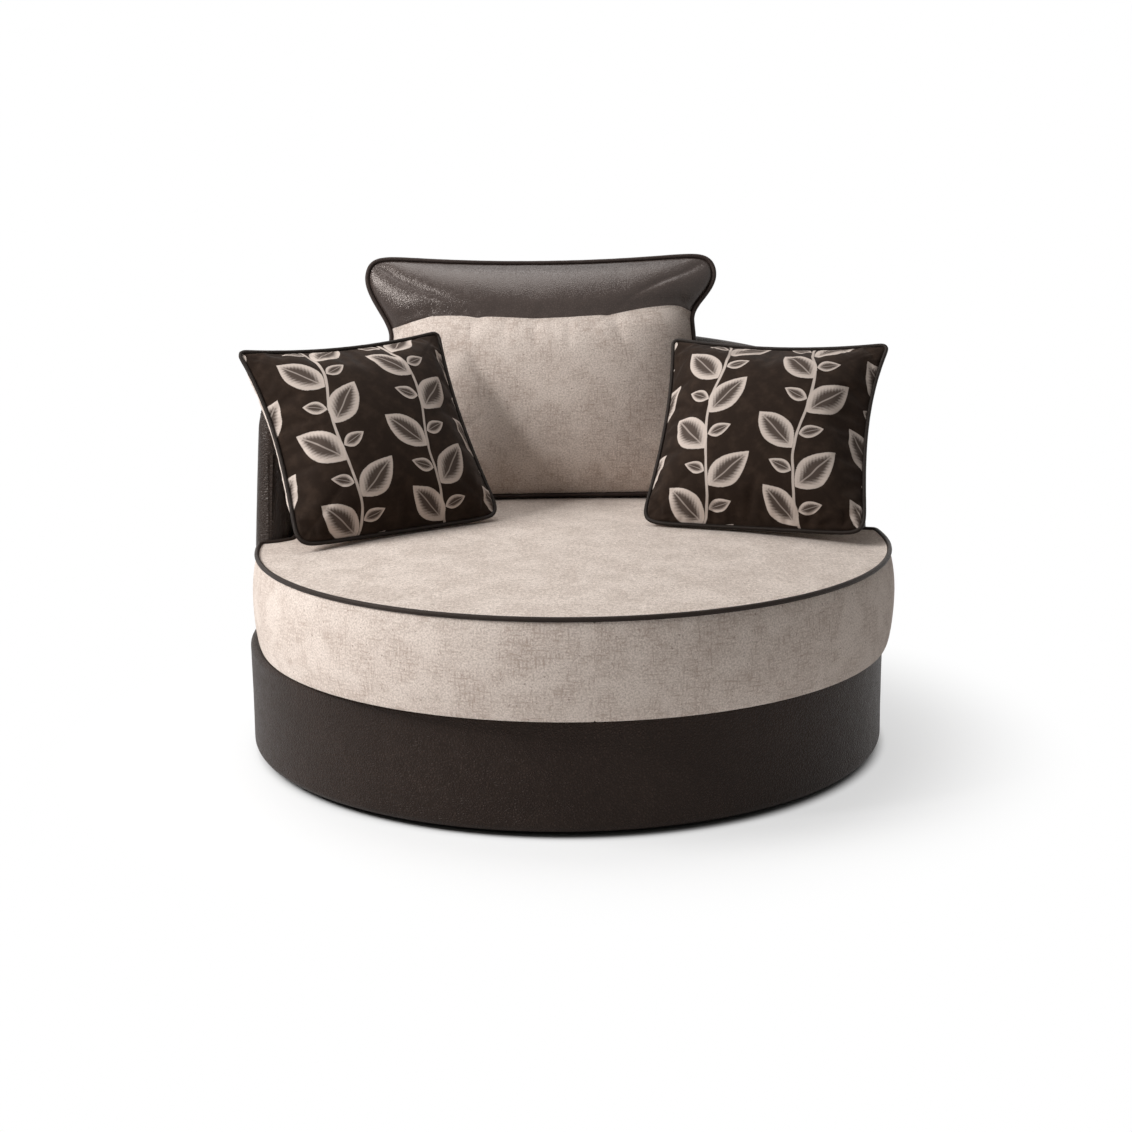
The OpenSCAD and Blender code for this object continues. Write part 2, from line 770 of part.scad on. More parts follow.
// Profile across the wall at one station, from the outer foot over the top
function wall_profile(side, s, r_in, r_out, taper, drop, end) =
    let (full = (r_out - r_in) / 2,
         t = min(1, (s + end_flat) / full),
         half = full * sqrt(1 - pow(1 - t, 2)),
         middle = (r_in + r_out) / 2,
         top = wing_top(s, end, drop),
         spring = top - half,
         rise = spring - shell_bottom)
    [for (q = [[0, 0], [0, 0.35], [0, 0.7], [0, 1], [36, 1], [72, 1], [108, 1], [144, 1],
               [180, 1], [180, 0.7], [180, 0.35], [180, 0]])
        let (z = shell_bottom + rise * q[1] + (q[1] < 1 ? 0 : half * sin(q[0])),
             r = middle + half * cos(q[0])
                 - taper * (1 + cos(q[0])) / 2 * (z - shell_bottom) / rise,
             phi = wing_phi(s, z, end))
        [side * r * sin(phi), r * cos(phi), z]];

function wall_rows(r_in, r_out, taper, drop, end) =
    let (s = stations(end), n = len(s))
    concat(
        [for (k = [0 : n - 1]) wall_profile(1, s[k], r_in, r_out, taper, drop, end)],
        [for (k = [n - 2 : -1 : 0]) wall_profile(-1, s[k], r_in, r_out, taper, drop, end)]
    );

module back_cover() {
    color(brown_leather) hood(
        wall_rows(shell_inner, shell_radius, shell_taper, 0, 0),
        wall_rows(shell_inner + leather, shell_radius - leather, shell_taper, leather, leather)
    );
}

module back_foam() {
    skin = leather + rest_gap;
    color(foam_cream) hood(
        wall_rows(shell_inner + skin, shell_radius - skin, shell_taper, skin, skin),
        wall_rows(inner_panel_radius - board_gap, outer_panel_radius + facet_room + rest_gap, 0,
            top_foam, top_foam)
    );
}

// Seat cushion

function front_reach(a, r) =
    let (b = seat_centre[0] * sin(a) + seat_centre[1] * cos(a))
    b + sqrt(r * r - seat_centre * seat_centre + b * b);

// Distance of the border from the swivel axis; swell is 0 at a seam and 1 at the fullest
function seat_reach(a, swell) =
    let (back = rear_swell_radius - border_swell * (1 - swell),
         front = front_reach(a, seat_radius - border_swell * (1 - swell)))
    back + (front - back) * smooth((abs(a) - flank_start) / (flank_end - flank_start));

function crown_reach(a) =
    let (back = rear_swell_radius - border_swell,
         front = front_reach(a, seat_radius - border_swell))
    back + (front - back) * smooth((abs(a) - crown_blend) / crown_blend);

function seat_top(x, y) =
    let (share = min(1, norm([x, y]) / crown_reach(atan2(x, y))))
    seat_edge_height + seat_crown * (1 - pow(share, 2.5));

// Height of the flat faces of the crown, on which the loose cushions rest
function seat_rest(x, y) =
    let (share = min(1, norm([x, y]) / crown_reach(atan2(x, y))))
    seat_edge_height + seat_crown
        * lookup(share, [[0, 1], each [for (ring = seat_rings) [ring, 1 - pow(ring, 2.5)]]]);

function seam_height(a) =
    let (r = seat_reach(a, 0)) seat_top(r * sin(a), r * cos(a));

function border_height(a, level) =
    seat_bottom + level * (seam_height(a) - piping_reach - seat_bottom);

function swell_at(level) = pow(max(0, sin(180 * level)), 0.7);

function on_ray(a, r, z) = [r * sin(a), r * cos(a), z];

// The rings run anticlockwise seen from above
ray_angles = [for (k = [len(seat_angles) - 1 : -1 : 0]) seat_angles[k]];

function top_ring_points(share, sink) =
    [for (a = ray_angles)
        let (r = share * (seat_reach(a, 0) - piping_reach))
        on_ray(a, r, seat_top(r * sin(a), r * cos(a)) - sink)];

function border_ring(level, sink) =
    [for (a = ray_angles)
        on_ray(a, seat_reach(a, swell_at(level)) - sink, border_height(a, level))];

function flat_ring(sink, z) =
    [for (a = ray_angles) on_ray(a, seat_reach(a, 0) - sink, z)];

module seat_foam() {
    sink = cloth + 2 * rest_gap;
    top = seat_top(0, 0) - 2 * sink;
    color(foam_cream) capped_rings(
        [0, 0, seat_bottom + sink],
        [flat_ring(2 * sink, seat_bottom + sink),
         border_ring(0.5, 2 * sink),
         flat_ring(3 * sink, seat_edge_height - piping_reach - sink),
         top_ring_points(seat_rings[2], 2 * sink)],
        [0, 0, top]
    );
}

module seat_top_panel() {
    low = [0, 0, seat_top(0, 0) - cloth];
    high = [0, 0, seat_top(0, 0)];
    color(cream_chenille) capped_rings(
        low,
        concat(
            [for (k = [len(seat_rings) - 1 : -1 : 0]) top_ring_points(seat_rings[k], cloth)],
            [for (share = seat_rings) top_ring_points(share, 0)]
        ),
        high
    );
}

module seat_border() {
    n = len(seat_levels);
    color(cream_chenille) looped_rings(concat(
        [for (level = seat_levels) border_ring(level, 0)],
        [for (k = [n - 1 : -1 : 0]) border_ring(seat_levels[k], cloth)]
    ));
}

module seat_underside() {
    inset = cloth + 3 * rest_gap;
    color(cream_chenille) capped_rings(
        [0, 0, seat_bottom],
        [flat_ring(inset, seat_bottom), flat_ring(inset, seat_bottom + cloth)],
        [0, 0, seat_bottom + cloth]
    );
}

module seat_piping() {
    sides = 5;
    color(piping_brown) looped_rings(
        [for (k = [0 : sides - 1]) let (b = 360 * (k + 0.25) / sides - 90)
            [for (a = ray_angles)
                on_ray(a, seat_reach(a, 0) + piping_radius * cos(b),
                    seam_height(a) + piping_radius * sin(b))]]
    );
}

zip_low = seat_bottom + seat_zip_rise;
zip_level = (seat_zip_rise + zip_width) / (seat_edge_height - piping_reach - seat_bottom);
seat_zip_radius = rear_swell_radius - border_swell * (1 - swell_at(zip_level)) + 1.5 * rest_gap;

module seat_zip() {
    color(zinc)
        sector(seat_zip_radius, seat_zip_radius + zip_thickness, zip_low, zip_low + zip_width,
            seat_zip_angle / 2);
}

module seat_zip_slider() {
    base = seat_zip_radius + zip_thickness + rest_gap;
    half = slider_length / base * 90 / PI;
    pull = slider_pull / base * 90 / PI;
    place = seat_zip_angle / 2 - half;
    color(polished_steel) union() {
        sector(base, base + slider_thickness, zip_low - 1, zip_low + zip_width + 1, half, place);
        sector(base + pull_thickness / 2, base + 1.5 * pull_thickness,
            zip_low + 1, zip_low + zip_width - 1, pull, place - pull);
    }
}

// Loose cushions

// Rounds the corners of the unit square
function rounded_square(u, v) =
    let (most = max(abs(u), abs(v)),
         k = most == 0 ? 1
             : most / pow(pow(abs(u), corner_power) + pow(abs(v), corner_power), 1 / corner_power))
    [k * u, k * v];

function plump(u, v) = pow((1 - pow(abs(u), 2.2)) * (1 - pow(abs(v), 2.2)), 0.6);

// Outline points of a grid, anticlockwise seen from its front
function outline(rows) =
    let (m = len(rows) - 1, n = len(rows[0]) - 1)
    concat(
        [for (i = [0 : n - 1]) rows[0][i]],
        [for (j = [0 : m - 1]) rows[j][n]],
        [for (i = [n : -1 : 1]) rows[m][i]],
        [for (j = [m : -1 : 1]) rows[j][0]]
    );

// Piping round an outline in the plane of the seam, as rings before placing
function piping_rings(path, sides = 6) =
    let (n = len(path))
    [for (k = [0 : sides - 1]) let (b = 360 * (k - 0.5) / sides)
        [for (i = [0 : n - 1])
            let (d = path[(i + 1) % n] - path[(i + n - 1) % n],
                 out = [d[1], -d[0]] / norm([d[0], d[1]]),
                 r = piping_reach + piping_radius * cos(b))
            [path[i][0] + out[0] * r, path[i][1] + out[1] * r, piping_radius * sin(b)]]];

// Back cushion, measured from the middle of its bottom seam

function back_half_width(y) =
    y > back_waist_height
        ? back_waist + (back_ear - back_waist)
            * smooth((y - back_waist_height) / (0.93 * back_height - back_waist_height))
        : back_waist + (back_lower - back_waist)
            * sin(90 * min(1, (back_waist_height - y) / (0.6 * back_waist_height)));

function back_plane(u, v) =
    let (q = rounded_square(u, v), t = (q[1] + 1) / 2, y = back_height * t)
    [back_half_width(y) * q[0], y - back_top_dip * (1 - q[0] * q[0]) * pow(t, 3)];

function back_front_depth(u, v) =
    let (shape = plump(u, v), t = (v + 1) / 2)
    back_front_fullness * shape
        - head_channel * sqrt(shape) * exp(-pow((t - head_seam) / 0.05, 2));

back_seat_height = max([for (u = [-1 : 0.25 : 1])
    seat_rest(back_sideways + u * back_lower, back_distance)]);
back_at = [back_sideways, back_distance,
    back_seat_height + rest_gap + piping_radius + piping_reach * cos(back_lean)];

// Seam points above this height have their rear side above the shell
clear_of_shell = shell_side_height + shell_slope * shell_inner + 28;

function back_world(p) = lean_place(p, back_turn, back_lean, 0, back_at);

// Room between the seam plane and the inner face of the shell
function shell_room(x, y) =
    let (p = back_world([x, y, 0]),
         reach = rear_swell_radius - cloth - rest_gap,
         wall = sqrt(max(0, reach * reach - p[0] * p[0])))
    (wall - p[1]) / cos(back_lean) + max(0, p[2] - clear_of_shell);

function back_rear_depth(u, v) =
    let (p = back_plane(u, v))
    max(0, min(back_rear_fullness * plump(u, v), shell_room(p[0], p[1])));

function back_front_grid(rows, sink) =
    [for (v = rows) [for (u = back_columns)
        let (p = back_plane(u, v))
        back_world([p[0], p[1], seam_gap + cloth - sink + back_front_depth(u, v)])]];

function back_rear_grid(rows, sink) =
    [for (v = rows) [for (u = back_columns)
        let (p = back_plane(u, v))
        back_world([p[0], p[1], -seam_gap - cloth + sink - back_rear_depth(u, v)])]];

module back_cushion_fill() {
    middle = [0, back_height * 0.42, 0];
    function point(u, v, side) =
        let (p = back_plane(u, v),
             depth = side > 0 ? back_front_depth(u, v) : back_rear_depth(u, v))
        back_world(middle + fill_share * ([p[0], p[1], side * (seam_gap + depth)] - middle));
    color(foam_cream) slab(
        [for (v = back_rows) [for (u = back_columns) point(u, v, 1)]],
        [for (v = back_rows) [for (u = back_columns) point(u, v, -1)]]
    );
}

module back_cushion_head() {
    color(brown_leather) slab(back_front_grid(head_rows, 0), back_front_grid(head_rows, cloth));
}

module back_cushion_front() {
    rows = [for (k = [0 : len(front_rows) - 1])
        front_rows[k] - (k == len(front_rows) - 1 ? rest_gap * 2 / back_height : 0)];
    color(cream_chenille) slab(back_front_grid(rows, 0), back_front_grid(rows, cloth));
}

module back_cushion_reverse() {
    color(cream_chenille) slab(back_rear_grid(back_rows, cloth), back_rear_grid(back_rows, 0));
}

module back_cushion_piping() {
    flat = [for (v = back_rows) [for (u = back_columns) back_plane(u, v)]];
    color(piping_brown) looped_rings([for (ring = piping_rings(outline(flat)))
        [for (p = ring) back_world(p)]]);
}

// A zip behind the piping of a straight bottom seam, and its slider at one end
module zip_strip(length, seam) {
    translate([-length / 2, seam + zip_top - zip_width, -piping_reach - zip_thickness])
        cube([length, zip_width, zip_thickness]);
}

module zip_slider(length, seam) {
    top = -piping_reach - zip_thickness - rest_gap;
    union() {
        translate([-length / 2, seam + zip_top - zip_width + 1, top - slider_thickness])
            cube([slider_length, zip_width, slider_thickness]);
        translate([-length / 2 + slider_length - 1, seam + zip_top - zip_width + 2,
            top - slider_thickness])
            cube([slider_pull, zip_width - 2, pull_thickness]);
    }
}

module back_cushion_zip() {
    color(zinc) leaning(back_turn, back_lean, 0, back_at) zip_strip(back_zip_length, 0);
}

module back_cushion_zip_slider() {
    color(polished_steel) leaning(back_turn, back_lean, 0, back_at)
        zip_slider(back_zip_length, 0);
}

// Scatter pillows, measured from the middle; the bottom seam is straight

function pillow_plane(u, v) =
    let (q = rounded_square(u, v))
    [q[0] * (pillow_width / 2 - pillow_draw * (1 - q[1] * q[1])),
     q[1] * (pillow_height / 2 - (q[1] > 0 ? pillow_draw * (1 - q[0] * q[0]) : 0))];

function pillow_depth(u, v) = pillow_fullness * plump(u, v);

pillow_seam = outline([for (v = pillow_steps) [for (u = pillow_steps) pillow_plane(u, v)]]);

// A pillow's turn, lean, roll and place, raised until its piping clears the seat
function pillow_pose(x, y, turn, lean, roll) =
    [turn, lean, roll, [x, y, rest_gap + max([
        for (ring = piping_rings(pillow_seam)) for (p = ring)
            let (q = lean_place(p, turn, lean, roll, [x, y, 0]))
            seat_rest(q[0], q[1]) - q[2]])]];

left_pose = pillow_pose(left_x_share * shell_inner, left_y_share * shell_inner,
    left_turn, left_lean, left_roll);
right_pose = pillow_pose(right_x_share * shell_inner, right_y_share * shell_inner,
    right_turn, right_lean, right_roll);

function posed(p, pose) = lean_place(p, pose[0], pose[1], pose[2], pose[3]);

function pillow_grid(pose, side, lift) =
    [for (v = pillow_steps) [for (u = pillow_steps)
        let (p = pillow_plane(u, v))
        posed([p[0], p[1], side * (seam_gap + lift + pillow_depth(u, v))], pose)]];

module pillow_fill(pose) {
    function point(u, v, side) =
        let (p = pillow_plane(u, v))
        posed(fill_share * [p[0], p[1], side * (seam_gap + pillow_depth(u, v))], pose);
    color(foam_cream) slab(
        [for (v = pillow_steps) [for (u = pillow_steps) point(u, v, 1)]],
        [for (v = pillow_steps) [for (u = pillow_steps) point(u, v, -1)]]
    );
}

module pillow_front(pose) {
    color(dark_print) slab(pillow_grid(pose, 1, cloth), pillow_grid(pose, 1, 0));
}

module pillow_reverse(pose) {
    color(cream_chenille) slab(pillow_grid(pose, -1, 0), pillow_grid(pose, -1, cloth));
}

module pillow_piping(pose) {
    color(piping_brown) looped_rings([for (ring = piping_rings(pillow_seam))
        [for (p = ring) posed(p, pose)]]);
}

module pillow_zip(pose) {
    color(zinc) leaning(pose[0], pose[1], pose[2], pose[3])
        zip_strip(pillow_zip_length, -pillow_height / 2);
}

module pillow_zip_slider(pose) {
    color(polished_steel) leaning(pose[0], pose[1], pose[2], pose[3])
        zip_slider(pillow_zip_length, -pillow_height / 2);
}

glides();
plinth_board();
swivel_lower_plate();
lower_plate_screws();
swivel_balls();
ball_cage();
swivel_upper_plate();
upper_plate_bolts();
cross_rails();
bottom_ring();
dust_cover();
drum_posts();
top_ring();
drum_panel();
drum_foam();
drum_cover();
webbing_lengthwise();
webbing_crosswise();
deck_cloth();
back_bottom_rail();
back_posts();
back_top_rail();
back_inner_panel();
back_outer_panel();
back_frame_bolts();
back_foam();
back_cover();
seat_foam();
seat_top_panel();
seat_border();
seat_underside();
seat_piping();
seat_zip();
seat_zip_slider();
back_cushion_fill();
back_cushion_head();
back_cushion_front();
back_cushion_reverse();
back_cushion_piping();
back_cushion_zip();
back_cushion_zip_slider();
pillow_fill(left_pose);  // left_pillow_fill
pillow_front(left_pose);  // left_pillow_front
pillow_reverse(left_pose);  // left_pillow_reverse
pillow_piping(left_pose);  // left_pillow_piping
pillow_zip(left_pose);  // left_pillow_zip
pillow_zip_slider(left_pose);  // left_pillow_zip_slider
pillow_fill(right_pose);  // right_pillow_fill
pillow_front(right_pose);  // right_pillow_front
pillow_reverse(right_pose);  // right_pillow_reverse
pillow_piping(right_pose);  // right_pillow_piping
pillow_zip(right_pose);  // right_pillow_zip
pillow_zip_slider(right_pose);  // right_pillow_zip_slider
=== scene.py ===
import bpy, json, math
import numpy as np
from mathutils import Matrix, Vector, noise


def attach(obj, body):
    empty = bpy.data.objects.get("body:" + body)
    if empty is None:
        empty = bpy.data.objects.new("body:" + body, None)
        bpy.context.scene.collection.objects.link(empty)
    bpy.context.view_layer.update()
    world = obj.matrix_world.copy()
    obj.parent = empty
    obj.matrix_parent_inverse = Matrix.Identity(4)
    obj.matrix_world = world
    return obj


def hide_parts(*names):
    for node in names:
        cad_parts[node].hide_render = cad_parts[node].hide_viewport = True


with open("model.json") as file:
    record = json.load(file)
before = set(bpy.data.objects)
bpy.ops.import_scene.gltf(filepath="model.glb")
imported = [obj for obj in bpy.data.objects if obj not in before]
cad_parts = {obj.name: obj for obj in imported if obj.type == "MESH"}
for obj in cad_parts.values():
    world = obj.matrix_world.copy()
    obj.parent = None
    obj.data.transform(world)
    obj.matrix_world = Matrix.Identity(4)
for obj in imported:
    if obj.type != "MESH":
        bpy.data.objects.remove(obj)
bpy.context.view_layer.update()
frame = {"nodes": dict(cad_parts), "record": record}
nodes = frame["nodes"]
print("frame loaded:", len(nodes), "nodes")

# camera, matched to the photograph (1132 x 1132)
camera = {"azimuth": -4.0, "elevation": 12.94, "distance": 3.721, "aimHeight": 0.319,
          "focalPixels": 2000.0, "imagePixels": 1132.0, "sensor": 36.0, "roll": 0.5}


def addCamera():
    a, e, r = (math.radians(camera[k]) for k in ("azimuth", "elevation", "roll"))
    back = Vector((math.sin(a) * math.cos(e), -math.cos(a) * math.cos(e), math.sin(e)))
    right = Vector((math.cos(a), math.sin(a), 0))
    up = back.cross(right)
    side = right * math.cos(r) - up * math.sin(r)
    top = right * math.sin(r) + up * math.cos(r)
    data = bpy.data.cameras.new("photoCamera")
    data.sensor_fit, data.sensor_width = "HORIZONTAL", camera["sensor"]
    data.lens = camera["focalPixels"] / camera["imagePixels"] * data.sensor_width
    data.clip_start, data.clip_end = 0.05, 60.0
    cam = bpy.data.objects.new("photoCamera", data)
    bpy.context.scene.collection.objects.link(cam)
    place = Matrix((side, top, back)).transposed().to_4x4()
    place.translation = Vector((0, 0, camera["aimHeight"])) + back * camera["distance"]
    cam.matrix_world = place
    bpy.context.scene.camera = cam


addCamera()


# shader helpers: a flow is what leaves a node, so that values can be written as sums and products
class Flow:
    def __init__(self, graph, socket):
        self.graph, self.socket = graph, socket

    def __add__(self, other):
        return self.graph.math("ADD", self, other)

    def __radd__(self, other):
        return self.graph.math("ADD", other, self)

    def __sub__(self, other):
        return self.graph.math("SUBTRACT", self, other)

    def __rsub__(self, other):
        return self.graph.math("SUBTRACT", other, self)

    def __mul__(self, other):
        return self.graph.math("MULTIPLY", self, other)

    def __truediv__(self, other):
        return self.graph.math("DIVIDE", self, other)


class Graph:
    def __init__(self, tree):
        self.tree = tree

    def put(self, socket, value):
        if isinstance(value, Flow):
            self.tree.links.new(value.socket, socket)
        elif socket.type == "RGBA":
            socket.default_value = (*value, 1)
        else:
            socket.default_value = value

    def node(self, kind, **settings):
        made = self.tree.nodes.new("ShaderNode" + kind)
        for key, value in settings.items():
            setattr(made, key, value)
        return made

    def make(self, kind, inputs, output=0, **settings):
        made = self.node(kind, **settings)
        for key, value in inputs.items():
            self.put(made.inputs[key], value)
        return Flow(self, made.outputs[output])

    def math(self, operation, a, b=0.0):
        return self.make("Math", {0: a, 1: b}, operation=operation)

    def mix(self, share, a, b):
        return self.make("Mix", {0: share, 6: a, 7: b}, 2, data_type="RGBA")

    def ramp(self, value, low, high):
        return self.make("MapRange", {0: value, 1: low, 2: high}, interpolation_type="SMOOTHSTEP")

    def coords(self, kind="Object"):
        return self.make("TexCoord", {}, kind)

    def split(self, source):
        parts = self.make("SeparateXYZ", {0: source}).socket.node.outputs
        return Flow(self, parts[0]), Flow(self, parts[1])

    def stretched(self, source, scale):
        return self.make("Mapping", {0: source, "Scale": scale})

    def noise(self, source, scale, detail=3.0, rough=0.5, twist=0.0, output=0):
        return self.make("TexNoise", {"Vector": source, "Scale": scale, "Detail": detail, "Roughness": rough,
                                      "Distortion": twist}, output)

    def cells(self, source, scale, feature="F1", spread=1.0):
        return self.make("TexVoronoi", {"Vector": source, "Scale": scale, "Randomness": spread},
                         feature=feature)

    def bump(self, height, depth, strength=1.0, **under):
        return self.make("Bump", {"Height": height, "Distance": depth, "Strength": strength, **under})

    def seenRays(self):
        # 1 for what the camera sees, directly, in a reflection or through something
        path = self.node("LightPath").outputs
        kinds = ("Camera", "Glossy", "Transmission")
        sight, glossy, through = (Flow(self, path[f"Is {kind} Ray"]) for kind in kinds)
        return self.math("MAXIMUM", self.math("MAXIMUM", sight, glossy), through)


class Paint(Graph):
    def __init__(self, name):
        self.mat = bpy.data.materials.new(name)
        self.mat.use_nodes = True
        super().__init__(self.mat.node_tree)
        self.surface = self.tree.nodes["Principled BSDF"]

    def finish(self, color, rough, normal=None, **fixed):
        self.put(self.surface.inputs["Base Color"], color)
        self.put(self.surface.inputs["Roughness"], rough)
        if normal is not None:
            self.put(self.surface.inputs["Normal"], normal)
        for key, value in fixed.items():
            self.put(self.surface.inputs[key.replace("_", " ")], value)
        return self.mat


# light: a large soft lamp from the left, a small one beside it for the shine, others above and behind
lights = {
    "keyLamp": {"from": (-3.38, -0.6, 2.9), "size": 1.9, "watts": 135},
    "sideLamp": {"from": (-2.98, -1.82, 2.6), "size": 0.5, "watts": 44},
    "topLamp": {"from": (-0.3, 0.9, 3.7), "size": 2.4, "watts": 52},
    "rearLamp": {"from": (1.6, 3.4, 2.2), "size": 2.2, "watts": 4},
}
lampAim = (0, 0, 0.35)
worldLook = {"tint": (1, 0.985, 0.965), "light": 0.18}
white = (1, 1, 1)


def addLights():
    for name, lamp in lights.items():
        data = bpy.data.lights.new(name, "AREA")
        data.shape, data.size, data.energy = "DISK", lamp["size"], lamp["watts"]
        ob = bpy.data.objects.new(name, data)
        bpy.context.scene.collection.objects.link(ob)
        ob.location = lamp["from"]
        aim = Vector(lampAim) - Vector(lamp["from"])
        ob.rotation_euler = aim.to_track_quat("-Z", "Y").to_euler()
    world = bpy.data.worlds.new("studioWorld")
    bpy.context.scene.world = world
    world.use_nodes = True
    world.node_tree.nodes.clear()
    g = Graph(world.node_tree)
    light = g.make("Background", {"Color": worldLook["tint"], "Strength": worldLook["light"]})
    seen = g.make("Background", {"Color": white})
    g.put(g.node("OutputWorld").inputs[0], g.make("MixShader", {0: g.seenRays(), 1: light, 2: seen}))
    bpy.context.scene.view_settings.view_transform = "Standard"


addLights()
print("camera and lamps set")


# cream chenille: fine pile all over, short crossed slubs in loose patches, a few brown flecks
chenilleLook = {"light": (0.73, 0.636, 0.57), "mid": (0.49, 0.41, 0.36), "slubDark": (0.35, 0.258, 0.21),
                "fleck": (0.22, 0.165, 0.135), "slub": 0.0039, "thin": 0.16, "patch": 15.0, "crossed": 0.5,
                "curl": 0.0, "pile": 1.2, "relief": 0.0013}
seatTopLook = {**chenilleLook, "mid": (0.43, 0.36, 0.312), "crossed": 0.32, "curl": 1.4, "pile": 0.85}


def makeChenille(name, look=chenilleLook):
    p = Paint(name)
    uv = p.coords("UV")
    fine = 1 / look["slub"]
    along = p.noise(p.stretched(uv, (fine * look["thin"], fine, 1)), 1.0, 2.0, 0.55)
    across = p.noise(p.stretched(uv, (fine, fine * look["thin"], 1)), 1.0, 2.0, 0.55)
    pile = p.noise(uv, fine * look["pile"], 3.0, 0.75, look["curl"])
    patches = p.noise(uv, look["patch"], 3.0, 0.62, 0.4)
    specks = p.noise(uv, fine * 0.62, 1.0, 0.5)
    weave = p.math("MAXIMUM", along, across)
    slubs = p.ramp(weave, 0.49, 0.66) * p.ramp(patches, 0.40, 0.58)
    base = p.mix(p.ramp(pile * 0.84 + patches * 0.16, 0.38, 0.62), look["light"], look["mid"])
    color = p.mix(slubs * look["crossed"], base, look["slubDark"])
    color = p.mix(p.ramp(specks, 0.67, 0.77) * 0.6, color, look["fleck"])
    normal = p.bump(weave * 0.55 + pile * 0.7, look["relief"], 0.8)
    return p.finish(color, 0.86 + pile * 0.1, normal, Sheen_Weight=0.2, Sheen_Roughness=0.45,
                    Sheen_Tint=(0.95, 0.88, 0.82), Specular_IOR_Level=0.15)


# brown leather: pebble grain with fine creases, worn a little lighter on its high places
leatherLook = {"dark": (0.0265, 0.0172, 0.0136), "light": (0.042, 0.0285, 0.023), "pebble": 0.0046,
               "depth": 0.0011, "rough": 0.45, "gloss": 0.11, "worn": 0.35, "tint": (1, 0.9, 0.84)}
# the head's copy of the leather is lighter than the rest: painted sheen on the head, which faces the light
headLook = {**leatherLook, "dark": (0.052, 0.037, 0.032), "light": (0.074, 0.054, 0.0467), "pebble": 0.0038,
            "depth": 0.00022, "rough": 0.23, "gloss": 0.4, "worn": 0.07}
shellLook = {**leatherLook, "dark": (0.0275, 0.0185, 0.0145), "light": (0.043, 0.0305, 0.0245),
             "pebble": 0.0038, "rough": 0.36, "gloss": 0.17}
pipingLook = {**leatherLook, "dark": (0.027, 0.0195, 0.0162), "light": (0.045, 0.0335, 0.028),
              "pebble": 0.0019, "depth": 0.00025, "rough": 0.48}
headTrimLook = {**pipingLook, "dark": (0.042, 0.030, 0.026), "light": (0.062, 0.046, 0.040), "rough": 0.4}
trimLook = {**pipingLook, "dark": (0.013, 0.0091, 0.0072), "light": (0.023, 0.0168, 0.0135), "gloss": 0.18,
            "rough": 0.5}


def makeLeather(name, look=leatherLook):
    p = Paint(name)
    uv = p.coords("UV")
    pebble = p.ramp(p.cells(uv, 1 / look["pebble"], "DISTANCE_TO_EDGE", 0.95), 0.0, 0.32)
    small = p.cells(uv, 1.9 / look["pebble"])
    clouds = p.noise(uv, 7.0, 4.0, 0.6)
    worn = p.noise(uv, 46.0, 4.0, 0.65)
    base = p.mix(p.ramp(clouds * 0.6 + worn * 0.4, 0.35, 0.68), look["dark"], look["light"])
    color = p.mix((1.0 - pebble) * 0.65, base, tuple(0.6 * c for c in look["dark"]))
    normal = p.bump(pebble + small * -0.35, look["depth"], 0.9, Normal=p.bump(worn, 0.0012, look["worn"]))
    rough = look["rough"] + (worn - 0.5) * 0.22
    return p.finish(color, rough, normal, Specular_IOR_Level=look["gloss"], Specular_Tint=look["tint"])


# dark print: tall sprigs of pointed leaves on brown, each second column turned over; sizes in metres
# a leaf is (side of the stem, height of its foot, turn in degrees from level, length, width)
printLook = {"ground": (0.0185, 0.0108, 0.0071), "deep": (0.0315, 0.0193, 0.0131),
             "leaf": (0.56, 0.475, 0.42), "shade": (0.045, 0.0295, 0.0225), "across": 0.172, "up": 0.296,
             "wave": 0.009, "stem": 0.0031, "foot": 0.004, "taper": 0.3, "veins": 13.0, "drop": 0.27,
             "sway": 0.011}
sprig = [(1, 0.012, 45, 0.106, 0.059), (-1, 0.086, 50, 0.100, 0.056), (1, 0.160, 48, 0.102, 0.057),
         (-1, 0.234, 45, 0.098, 0.055), (1, 0.117, 22, 0.048, 0.026), (-1, 0.190, 24, 0.046, 0.025),
         (1, 0.264, 20, 0.046, 0.025), (-1, 0.041, 24, 0.048, 0.026)]


def leafSpace(p, spot, leaf, look):
    # a leaf's own x, from -1 at its foot to 1 at its tip, and y, 0 on its rib
    side, foot, turn, length, width = leaf
    turn = math.radians(turn if side > 0 else 180 - turn)
    reach = length / 2 + look["foot"]
    bend = look["wave"] * math.sin(2 * math.pi * foot / look["up"])
    middle = (look["across"] / 2 + bend + reach * math.cos(turn), foot + reach * math.sin(turn), 0)
    return p.split(p.make("Mapping", {0: spot, "Location": middle, "Rotation": (0, 0, turn),
                                      "Scale": (length / 2, width / 2, 1)}, vector_type="TEXTURE"))


